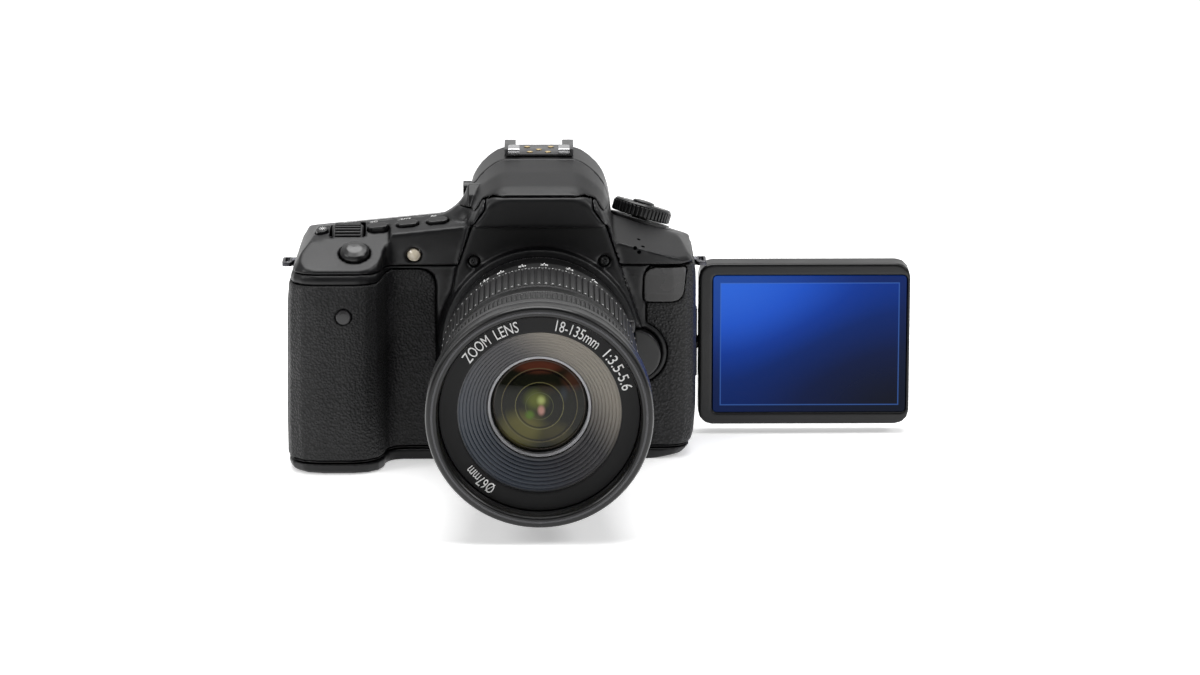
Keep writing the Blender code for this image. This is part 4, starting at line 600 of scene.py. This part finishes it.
def makeLens():
    z, f = zoomParts, focusParts
    barrel = softProfile([(26.0, 40.0), (26.0, 44.3), (31.6, 44.3), (32.4, 45.8), (32.4, 58.0),
                          (31.4, 58.0), (31.4, 98.3), (34.3, 98.3), (34.35, 99.6), (34.0, 99.9),
                          (34.1, 100.2), (34.5, 100.5), (35.2, 111.0), (35.2, 111.7), (31.4, 111.7),
                          (31.4, 130.4), (30.0, 130.4), (30.0, 48.0), (24.4, 46.0), (24.4, 40.0)], 0.35)
    keepPiece("lensCore", lathe(barrel, lensPlace, 200), "lensShell", "root",
              ("lens_barrel",))
    profile = softProfile([(31.75, z["back"]), (33.0, z["back"]), (33.75, z["back"] + 2.6),
                           (33.75, z["ribFrom"] - 2.2), (33.35, z["ribFrom"] - 1.6),
                           (33.35, z["ribTo"] + 1.4), (33.9, z["ribTo"] + 1.9), (34.25, z["front"]),
                           (31.75, z["front"])], 0.3)
    barsMesh = withModifiers(ribs(lensPlace, 33.35, z["ribFrom"] - 1.2, z["ribTo"] + 1.0, z["ribCount"],
                                  0.72, 1.62, narrow=0.74), edgeBevel(0.1))
    keepPiece("zoomGrip", merged(lathe(profile, lensPlace, 200), barsMesh), "ringRubber", "zoom_ring",
              ("zoom_ring",))
    profile = softProfile([(31.75, f["back"]), (35.3, f["back"]), (35.7, f["back"] + 0.5),
                           (35.7, f["ribFrom"] - 0.6), (35.15, f["ribFrom"] - 0.2),
                           (35.15, f["ribTo"] + 0.2), (35.75, f["ribTo"] + 0.6), (35.8, f["front"] - 2.4),
                           (35.5, f["front"] - 2.0), (35.5, f["front"] - 1.7), (35.75, f["front"] - 1.3),
                           (35.2, f["front"]), (31.75, f["front"])], 0.22)
    barsMesh = withModifiers(ribs(lensPlace, 35.15, f["ribFrom"], f["ribTo"], f["ribCount"], 0.6, 0.95,
                                  narrow=0.7, run=0.4), edgeBevel(0.08))
    keepPiece("focusGrip", merged(lathe(profile, lensPlace, 200), barsMesh), "ringRubber", "focus_ring",
              ("focus_ring",))

    thread = []
    t = threadParts
    for k in range(t["turns"]):      # filter thread, front to back
        thread += [(33.5, t["front"] - k * t["pitch"]), (33.9, t["front"] - 0.3 - k * t["pitch"])]
    front = [(29.65, 64.0), (29.65, 131.0), (37.0, 131.0), (37.5, 131.9), (37.7, 133.2), (37.7, 136.6),
             (37.35, 136.9), (37.35, 137.3), (37.7, 137.6), (37.7, 143.6), (37.3, 144.6), (36.7, 145.0),
             (34.6, 145.0), (34.1, 144.6), *thread, (33.5, 138.3), (33.5, 136.6), (28.05, 136.6),
             (28.05, 64.0)]
    keepPiece("frontBarrel", lathe(softProfile(front, 0.18, 2), lensPlace, 220), "lensShell",
              "inner_barrel", ("inner_barrel",), sharp=50)
    ring = softProfile([(33.2, 136.9), (33.2, 138.5), (32.9, 138.5), (27.9, 138.05), (27.2, 137.9),
                        (27.2, 136.9)], 0.15)
    keepPiece("nameFace", lathe(ring, lensPlace, 220), "nameBlack", "inner_barrel",
              ("name_ring",))
    b, profile = baffleParts, [(27.75, 132.4), (27.75, 136.3), (26.9, 136.3)]
    for k in range(b["steps"]):      # stepped baffle that stops stray light
        r0 = b["outer"] - b["narrowing"] * k / b["steps"]
        y0 = b["front"] - b["fall"] * k / b["steps"]
        profile += [(r0, y0), (r0 - 0.3, y0 - 0.6), (r0 - 0.95, y0 - 0.66)]
    profile += [(17.5, 130.1), (17.5, 124.2), (19.3, 124.2)]
    keepPiece("steppedBaffle", lathe(profile, lensPlace, 220), "baffle", "inner_barrel",
              ("front_baffle",), sharp=25)
    dome = [(0.0, 123.6), (17.1, 123.6)]
    dome += [(17.1 * (1 - k / 14), 126.3 + 2.5 * (1 - (1 - k / 14) ** 2)) for k in range(15)]
    keepPiece("frontGlass", lathe(dome, lensPlace, 160, closed=False), "frontGlass", "inner_barrel",
              ("front_lens",))
    # a thin mid grey ring at the front edge: a painted highlight along the lens's front lip
    lip = softProfile([(35.2, 144.7), (35.9, 144.7), (35.9, 145.12), (35.2, 145.12)], 0.1)
    keepPiece("frontLip", lathe(lip, lensPlace, 220), "lip", "inner_barrel")
    trim = softProfile([(17.4, 126.4), (17.4, 129.0), (17.1, 129.5), (16.3, 129.1), (16.3, 126.4)], 0.15)
    keepPiece("glassRetainer", lathe(trim, lensPlace, 180), "retainer", "inner_barrel")


def frontGlassFinish():     # painted reflections and shade of the nested elements behind the front glass, as coloured spots and rings about the lens axis
    material, tree, surface = newMaterial("frontGlass", Roughness=0.04, IOR=1.5)
    surface.inputs["Specular IOR Level"].default_value = 0.22
    where = tree.nodes.new("ShaderNodeTexCoord").outputs["Object"]
    parts = tree.nodes.new("ShaderNodeSeparateXYZ")
    wire(tree, where, parts.inputs[0])
    x, z = parts.outputs[0], mathNode(tree, "SUBTRACT", parts.outputs[2], axisZ)

    def distance(cx, cz, stretchX=1.0, stretchZ=1.0):
        dx = mathNode(tree, "MULTIPLY", mathNode(tree, "SUBTRACT", x, cx * mm), stretchX)
        dz = mathNode(tree, "MULTIPLY", mathNode(tree, "SUBTRACT", z, cz * mm), stretchZ)
        return mathNode(tree, "SQRT", mathNode(tree, "ADD", mathNode(tree, "MULTIPLY", dx, dx),
                                               mathNode(tree, "MULTIPLY", dz, dz)))

    reach = distance(0, 0)
    base = linear(20, 21, 12)
    # painted reflections: soft coloured spots of the lens coatings, with bright glints near the middle
    spots = [   # centre x, z, radius, softness, x and z squeeze, colour
        (-6.0, -8.0, 8.5, 6.0, 0.8, 1.0, linear(98, 94, 44)),
        (5.5, -9.5, 6.5, 5.0, 0.9, 1.2, linear(66, 62, 34)),
        (0.0, 13.2, 5.0, 3.6, 0.42, 1.6, linear(92, 48, 34)),
        (11.0, 8.5, 5.0, 4.0, 1.0, 1.0, linear(72, 44, 32)),
        (-1.0, 2.2, 5.0, 4.2, 0.9, 1.0, linear(96, 104, 34)),
        (0.6, 2.0, 1.8, 1.6, 0.9, 0.8, linear(176, 186, 110)),
        (0.6, -1.4, 1.7, 1.3, 1.0, 0.7, linear(190, 142, 130)),
        (-3.2, -3.0, 2.2, 1.8, 1.0, 1.0, linear(84, 118, 30)),
        (8.0, 4.0, 2.6, 2.2, 1.3, 0.7, linear(38, 44, 50)),
        (3.0, 6.0, 3.6, 3.0, 0.7, 1.3, linear(44, 36, 22))]
    for cx, cz, radius, soft, sx, sz, colour in spots:
        inside = stretch(tree, distance(cx, cz, sx, sz), (radius - soft) * mm, radius * mm, 0.9, 0.0)
        base = mixColour(tree, inside, base, colour)
    # painted reflections and shade: bright and dark rings at the edges of the elements
    for radius, width, colour in ((15.2, 0.35, linear(84, 78, 74)), (12.6, 0.28, linear(104, 96, 70)),
                                  (12.0, 0.5, linear(4, 4, 4)), (8.0, 0.25, linear(122, 118, 78)),
                                  (7.4, 0.5, linear(5, 6, 4)), (4.6, 0.2, linear(88, 92, 56))):
        gap = mathNode(tree, "ABSOLUTE", mathNode(tree, "SUBTRACT", reach, radius * mm))
        base = mixColour(tree, stretch(tree, gap, 0.0, width * mm, 0.8, 0.0), base, colour)
    # darker towards the rim of the glass
    base = mixColour(tree, stretch(tree, reach, 15.2 * mm, 16.2 * mm), base, linear(16, 16, 17))
    wire(tree, base, surface.inputs["Base Color"])
    return material


def baffleFinish():     # satin steps with a painted reflection: warm and pale up on one side, cool and dim down on the other
    material, tree, surface = newMaterial("baffleGrey", Roughness=0.32)
    parts = tree.nodes.new("ShaderNodeSeparateXYZ")
    wire(tree, tree.nodes.new("ShaderNodeTexCoord").outputs["Object"], parts.inputs[0])
    rise = mathNode(tree, "SUBTRACT", parts.outputs[2], axisZ)
    paintedReflectionSlope = mathNode(tree, "ADD", mathNode(tree, "MULTIPLY", parts.outputs[0], 0.75),
                     mathNode(tree, "MULTIPLY", rise, 0.66))
    # painted reflection: the colour turns from cool and dim to warm and pale across the baffle, as the
    # light falls
    base = mixColour(tree, stretch(tree, paintedReflectionSlope, -24 * mm, 2 * mm), linear(50, 56, 66), linear(46, 45, 48))
    base = mixColour(tree, stretch(tree, paintedReflectionSlope, 4 * mm, 22 * mm), base, linear(118, 112, 102))
    # painted highlight: the edge mask lightens each step edge of the baffle
    edge = groupNode(tree, wearAndHighlight, Reach=0.4)
    wire(tree, mixColour(tree, edge.outputs["Edge"], base, linear(150, 146, 138)),
         surface.inputs["Base Color"])
    return material


finishes["frontGlass"] = frontGlassFinish()
finishes["baffle"] = baffleFinish()
finishes["retainer"] = plastic("retainerGrey", linear(165, 165, 168), linear(200, 200, 202), 0.26,
                               depth=0.002 * mm)
# the mid grey lip colour paints the thin highlight at the lens front; the low roughness is a real polish
finishes["lip"] = plastic("paintedHighlightLip", linear(58, 58, 61), linear(110, 110, 114), 0.2, depth=0.002 * mm)
makeLens()


def ringText(name, body, radius, depth, height, words):      # words: text to its first and last angle
    meshes = []
    for text, (first, last) in words.items():
        mesh = glyphs(text, 5.0, Matrix.Identity(4), 0.04)
        points = np.array([v.co[:] for v in mesh.vertices]) / mm
        low, high = points.min(0), points.max(0)
        turn = np.radians(first + (points[:, 0] - low[0]) / (high[0] - low[0]) * (last - first))
        out = radius + ((points[:, 1] - low[1]) / (high[1] - low[1]) - 0.5) * height
        placed = np.stack([out * np.sin(turn), -depth - points[:, 2], out * np.cos(turn) + axisZ / mm], 1)
        mesh.vertices.foreach_set("co", (placed * mm).ravel().astype(np.float32))
        meshes.append(mesh)
    keepPiece(name, merged(*meshes), "ink", body)


ringWords = {               # text: first and last angle in degrees, clockwise from the top
    "ZOOM": (-53.5, -33.4),
    "LENS": (-29.0, -13.3),
    "18-135mm": (10.6, 40.5),
    "1:3.5-5.6": (47.0, 74.7),
    "Ø67mm": (210.5, 231.7),
}
ringText("nameWords", "inner_barrel", 30.2, 138.55, 3.7, ringWords)


def drumMark(mesh, radius, depth, angle, lift=0.0):     # lays flat marks on a drum about the lens axis
    turn = math.radians(angle)
    out = Vector((math.sin(turn), 0, math.cos(turn)))
    place = Vector((0, -depth * mm, axisZ)) + out * (radius + lift) * mm
    matrix = Matrix.Translation(place) @ Matrix.Rotation(turn, 4, "Y")
    mesh.transform(matrix)
    return mesh


upright = Matrix.Rotation(quarter, 4, "Z")
scale = [("18", 0), ("24", 16), ("35", 31), ("50", 44), ("85", 57), ("135", 68)]
marks = [drumMark(glyphs(n, 3.0, Matrix.Identity(4)), 33.75, 63.6, 34 - a, 0.02) for n, a in scale]
marks += [drumMark(bar(upright, 1.3, 0.45), 33.72, 61.4, 34 - a, 0.02) for n, a in scale]
marks += [drumMark(bar(Matrix.Identity(4), 0.5, 0.5, 0.05), 34.08, z, 360 / 92 * k)
          for k in range(92) for z in (69.6, 93.2)]
keepPiece("zoomScale", merged(*marks), "ink", "zoom_ring")
keepPiece("zoomIndex", drumMark(bar(upright, 1.6, 0.6), 32.4, 56.6, 34, 0.02), "ink", "root")
marks = [drumMark(bar(upright, 1.0, 0.28, 0.04), 34.55, 103.2, a) for a in range(-18, 19, 3)]
keepPiece("distanceTicks", merged(*marks), "paleInk", "root")
bevelled("focusSwitchCap", "focus_switch", "gloss", "focus_switch", 0.15)
bevelled("steadySwitchCap", "stabiliser_switch", "gloss", "stabiliser_switch",
         0.15)
print("lens done")


dialNormal = Vector((0.28052, 0.15643, 0.94701))
modeDial = {"centre": Vector((35.849, -2.750, 81.515)) * mm, "ribs": 44, "marks": 14, "markStep": 24,
            "firstMark": 8}
thumbDial = {"centre": (-66.9, -27.0, 76.9), "radius": 6.9, "ribs": 34}
quickDial = {"x": -50.0, "z": 30.0, "radius": 14.2, "ribs": 52}


def makeDials():
    m = modeDial
    place = facing(m["centre"], dialNormal)
    profile = softProfile([(2.9, -8.0), (2.9, 0.0), (10.1, 0.0), (10.1, 3.6), (10.4, 4.1), (9.6, 4.8),
                           (5.2, 4.5), (4.45, 4.3), (4.3, 1.2), (1.6, 1.2), (1.6, -8.0)], 0.25)
    knurl = withModifiers(ribs(place, 10.0, 0.1, 3.9, m["ribs"], 0.6, 0.95, run=0.3), edgeBevel(0.08))
    keepPiece("modeKnob", merged(lathe(profile, place, 120), knurl), "button", "mode_dial",
              ("mode_dial",))
    marks = []
    for k in range(m["marks"]):
        turn = Matrix.Rotation(math.radians(k * m["markStep"] + m["firstMark"]), 4, "Z")
        marks.append(bar(place @ turn @ Matrix.Translation((7.5 * mm, 0, 4.68 * mm)), 1.5,
                         0.5 if k % 3 else 1.3, 0.05))
    keepPiece("modeMarks", merged(*marks), "ink", "mode_dial")
    t = thumbDial
    place = Matrix.Translation(Vector(t["centre"]) * mm) @ Matrix.Rotation(math.radians(90), 4, "Y")
    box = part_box("main_dial")
    half = (box[1][0] - box[0][0]) / 2 / mm
    profile = softProfile([(0.0, -half), (t["radius"] - 0.6, -half), (t["radius"], -half + 0.7),
                           (t["radius"], half - 0.7), (t["radius"] - 0.6, half), (0.0, half)], 0.3)
    knurl = withModifiers(ribs(place, t["radius"] - 0.05, -half + 0.9, half - 0.9, t["ribs"], 0.62, 0.72,
                               run=0.35), edgeBevel(0.08))
    keepPiece("thumbwheel", merged(lathe(profile, place, 90), knurl), "ringRubber", "main_dial",
              ("main_dial",))
    moulded("quickWheel", "quick_dial", "button", "quick_dial", 0.28, 12)
    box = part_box("quick_dial")
    q = quickDial
    place = facing(Vector((q["x"] * mm, box[1][1], q["z"] * mm)), (0, 1, 0))
    knurl = withModifiers(ribs(place, q["radius"], -1.3, -0.25, q["ribs"], 0.62, 0.8, run=0.2),
                          edgeBevel(0.06))
    keepPiece("quickKnurl", knurl, "ringRubber", "quick_dial")


makeDials()
print("dials done")


def displayFinish():
    material, tree, surface = newMaterial("blueDisplay", Roughness=0.1)
    surface.inputs["Specular IOR Level"].default_value = 0.08
    surface.inputs["Emission Strength"].default_value = 0.8
    parts = tree.nodes.new("ShaderNodeSeparateXYZ")
    wire(tree, tree.nodes.new("ShaderNodeTexCoord").outputs["Object"], parts.inputs[0])
    low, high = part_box("screen_glass")
    across = stretch(tree, parts.outputs[0], low[0], high[0])
    up = stretch(tree, parts.outputs[2], low[2], high[2])
    slide = mathNode(tree, "ADD", mathNode(tree, "MULTIPLY", across, 0.42),
                     mathNode(tree, "MULTIPLY", mathNode(tree, "SUBTRACT", 1.0, up), 0.58))
    ramp = tree.nodes.new("ShaderNodeValToRGB")
    stops = [(0.0, linear(44, 104, 222)), (0.18, linear(28, 84, 200)), (0.36, linear(6, 55, 150)),
             (0.52, linear(0, 37, 106)), (0.75, linear(3, 22, 66)), (1.0, linear(6, 12, 28))]
    while len(ramp.color_ramp.elements) < len(stops):
        ramp.color_ramp.elements.new(0.5)
    for element, (position, colour) in zip(ramp.color_ramp.elements, stops):
        element.position, element.color = position, colour
    wire(tree, slide, ramp.inputs[0])
    edges = []
    for axis, a, b in ((0, low[0], high[0]), (2, low[2], high[2])):
        edges.append(mathNode(tree, "MINIMUM", mathNode(tree, "SUBTRACT", parts.outputs[axis], a),
                              mathNode(tree, "SUBTRACT", b, parts.outputs[axis])))
    inset = mathNode(tree, "MINIMUM", edges[0], edges[1])
    line = mathNode(tree, "ABSOLUTE", mathNode(tree, "SUBTRACT", inset, 2.6 * mm))
    shown = mixColour(tree, stretch(tree, inset, 2.4 * mm, 2.7 * mm),
                      mixColour(tree, 0.55, ramp.outputs[0], (0.002, 0.006, 0.02, 1)), ramp.outputs[0])
    shown = mixColour(tree, stretch(tree, line, 0.1 * mm, 0.3 * mm, 0.5, 0.0), shown,
                      linear(66, 112, 196))
    wire(tree, shown, surface.inputs["Emission Color"])
    wire(tree, mixColour(tree, 0.85, shown, (0, 0, 0, 1)), surface.inputs["Base Color"])
    return material


finishes["display"] = displayFinish()
carried = {                 # solids that keep their own shape: node and finish
    "screen_glass": "display",
    "mount_ring": "steel",
    "tripod_socket": "steel",
    "self_timer_lamp": "lamp",
    "remote_window": "smoked",
    "flash_window": "white",
    "top_display_window": "gloss",
    "eyepiece_lens": "prismGlass",
    "viewfinder_prism": "prismGlass",
    "mirror_box": "inside",
    "image_sensor": "sensorGlass",
    "main_board": "board",
    "battery": "cell",
    "reflex_mirror": "mirror",
}
for node, finish in carried.items():
    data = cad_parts[node].data
    data.materials.clear()
    data.materials.append(finishes[finish])
    data.polygons.foreach_set("use_smooth", [True] * len(data.polygons))
print("carried parts finished")


def onTop(pieceName, x, y):     # a place on a piece seen straight from above, local X pointing right
    spot = hit(pieceName, [(x, y, 130)], (0, 0, -1))[0]
    return along(spot, (1, 0, 0)) if spot else None


def makeMarks():
    marks = []
    for node, text in (("af_button", "AF"), ("drive_button", "DRIVE"), ("iso_button", "ISO")):
        low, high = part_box(node)
        place = onTop("topCoverShell", (low[0] + high[0]) / 2 / mm - 1.6, high[1] / mm + 1.5)
        if place:
            marks.append(glyphs(text, 1.9, place, 0.04))
    low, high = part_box("mode_dial")
    place = onTop("topCoverShell", low[0] / mm - 1.9, (low[1] + high[1]) / 2 / mm)
    if place:
        marks.append(bar(place, 1.6, 0.5))
    keepPiece("deckMarks", merged(*marks), "ink", "root")
    low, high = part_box("light_button")
    place = onTop("lightButtonCap", (low[0] + high[0]) / 2 / mm, (low[1] + high[1]) / 2 / mm)
    outward = Matrix.Translation((1.05 * mm, 0, 0.02 * mm))
    rays = [bar(place @ Matrix.Rotation(math.radians(45 * k), 4, "Z") @ outward, 0.5, 0.2)
            for k in range(8)]
    core = lathe([(0.32, 0.05), (0.58, 0.05), (0.58, -0.05), (0.32, -0.05)], place, 20)
    keepPiece("lightMark", merged(core, *rays), "ink", "light_button")
    low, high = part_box("flash_button")
    spot = hit("topCoverShell", [((low[0] + high[0]) / 2 / mm + 0.6, -90, low[2] / mm - 1.9)],
               (0, 1, 0))[0]
    if spot:
        bolt = [(0.25, 1.0), (-0.5, -0.1), (-0.05, -0.1), (-0.25, -1.0), (0.5, 0.2), (0.05, 0.2)]
        place = along(spot, (1, 0, 0))
        points = [place @ Vector((x * mm, y * mm, z * mm)) for z in (-0.05, 0.05) for x, y in bolt]
        faces = [tuple(range(6, 12)), tuple(reversed(range(6)))]
        faces += [(i, (i + 1) % 6, (i + 1) % 6 + 6, i + 6) for i in range(6)]
        keepPiece("flashMark", meshFrom("bolt", points, faces), "ink", "root")


def makeTrim():
    holes = hit("topCoverShell", [(33.5, -80, 77.4), (36.3, -80, 77.4), (34.9, -80, 78.9),
                                  (34.9, -80, 75.9)], (0, 1, 0))
    # each hole is a near-black disc set on the cover: painted shade in place of an opening
    pits = [lathe([(0.0, 0.04), (0.62, 0.04), (0.7, 0.0), (0.7, -0.2), (0, -0.2)], spot, 20,
                  closed=False) for spot in holes if spot]
    keepPiece("soundHoles", merged(*pits), "dark", "root")
    makeMarks()
    springs = []
    for side in (-1, 1):        # leaf springs pressed from strip, folded over each rail
        points, faces = [], []
        path = [(-11.05, 105.2), (-11.2, 106.3), (-11.15, 107.2), (-10.7, 107.62), (-8.5, 107.66),
                (-5.0, 107.64), (-3.6, 107.6)]
        for y, z in path:
            for x in (6.7, 11.0):
                points += [(side * x * mm, y * mm, z * mm), (side * x * mm, y * mm, (z + 0.25) * mm)]
        for i in range(len(path) - 1):
            a = i * 4
            faces += [(a, a + 4, a + 5, a + 1), (a + 2, a + 3, a + 7, a + 6),
                      (a + 1, a + 5, a + 7, a + 3), (a, a + 2, a + 6, a + 4)]
        faces += [(0, 1, 3, 2), (len(points) - 4, len(points) - 2, len(points) - 1, len(points) - 3)]
        springs.append(withModifiers(meshFrom("spring", points, faces), ("SUBSURF", {"levels": 2})))
    keepPiece("shoeSprings", merged(*springs), "steel", "root")
    button = softProfile([(0, 105.72), (1.1, 105.72), (1.1, 105.95), (0.7, 106.05), (0, 106.05)], 0.08, 2)
    spots = [(0, -2.6), (-4.2, 2.4), (4.2, 2.4), (-3.2, -7.0), (3.2, -7.0)]
    pins = [lathe(button, Matrix.Translation((x * mm, y * mm, 0)), 24) for x, y in spots]
    keepPiece("shoeContacts", merged(*pins), "gold", "root")


def makeScrews():
    for side, node in ((-1, "front_screw_left"), (1, "front_screw_right")):
        low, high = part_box(node)
        centre = ((low[0] + high[0]) / 2, low[1], (low[2] + high[2]) / 2)
        place = facing(centre, (0, -1, 0))
        head = softProfile([(0, -1.5), (1.75, -1.5), (1.75, -0.9), (1.3, -0.75), (0.75, -0.75),
                            (0.45, -1.15), (0, -1.15)], 0.12, 2)
        sunk = place @ Matrix.Translation((0, 0, -0.72 * mm))
        cross = [bar(sunk @ Matrix.Rotation(math.radians(a), 4, "Z"), 1.5, 0.32, 0.03) for a in (20, 110)]
        keepPiece("screwHead" + ("Left" if side < 0 else "Right"),
                  merged(lathe(head, place, 40), *cross), "screw", "root", (node,))


makeTrim()
makeScrews()
print("trim done")


lights = {                  # name: place, aim, size and power
    "overhead": ((0.0, 0.05, 1.1), (0.0, 0.0, 0.05), 0.9, 13.0),
    "left": ((-0.95, -0.55, 0.75), (-0.03, -0.03, 0.05), 0.45, 5.0),
    "right": ((0.95, -0.45, 0.85), (0.03, -0.03, 0.05), 0.35, 5.0),
}
viewpoint = {"target": (21.5, -15.0, 40.2), "distance": 1.722, "azimuth": -0.7, "elevation": 13.2,
             "focal": 145.5, "sensor": 36.0}


def makeStudio():
    points = [(-4, -4, 0), (4, -4, 0), (4, 4, 0), (-4, 4, 0)]
    floor = bpy.data.objects.new("paleFloor", meshFrom("paleFloor", points, [(0, 1, 2, 3)]))
    bpy.context.scene.collection.objects.link(floor)
    material, tree, surface = newMaterial("paleFloor", Roughness=0.75)
    skin = groupNode(tree, mould, Grain_size=2.0 * mm)
    wire(tree, mixColour(tree, skin.outputs["Mottle"], (0.93, 0.93, 0.93, 1), (0.95, 0.95, 0.95, 1)),
         surface.inputs["Base Color"])
    surface.inputs["Emission Color"].default_value = (1, 1, 1, 1)
    surface.inputs["Emission Strength"].default_value = 0.4
    floor.data.materials.append(material)
    world.use_nodes = True
    tree = world.node_tree
    backing = tree.nodes["Background"]
    parts = tree.nodes.new("ShaderNodeSeparateXYZ")       # pale wall behind, dim room in front
    wire(tree, tree.nodes.new("ShaderNodeTexCoord").outputs["Generated"], parts.inputs[0])
    room = stretch(tree, parts.outputs[1], -0.5, 0.9, 0.10, 0.75)
    seen = tree.nodes.new("ShaderNodeLightPath").outputs["Is Camera Ray"]
    wire(tree, mixColour(tree, mathNode(tree, "MAXIMUM", room, seen), (0, 0, 0, 1), (1, 1, 1, 1)),
         backing.inputs["Color"])
    backing.inputs["Strength"].default_value = 1.0
    for name, (place, aim, size, power) in lights.items():
        lamp = bpy.data.lights.new(name, "AREA")
        lamp.size, lamp.energy = size, power
        holder = bpy.data.objects.new(name, lamp)
        holder.location = place
        holder.rotation_mode = "QUATERNION"
        holder.rotation_quaternion = (Vector(aim) - Vector(place)).to_track_quat("-Z", "Y")
        bpy.context.scene.collection.objects.link(holder)
    v = viewpoint
    lens = bpy.data.cameras.new("viewpoint")
    lens.lens, lens.sensor_width, lens.clip_start = v["focal"], v["sensor"], 0.1
    camera = bpy.data.objects.new("viewpoint", lens)
    bpy.context.scene.collection.objects.link(camera)
    azimuth, elevation = math.radians(v["azimuth"]), math.radians(v["elevation"])
    back = Vector((math.sin(azimuth) * math.cos(elevation), -math.cos(azimuth) * math.cos(elevation),
                   math.sin(elevation)))
    camera.location = Vector(v["target"]) * mm + back * v["distance"]
    camera.rotation_mode = "QUATERNION"
    camera.rotation_quaternion = (-back).to_track_quat("-Z", "Y")
    bpy.context.scene.camera = camera


makeStudio()
print("scene ready")
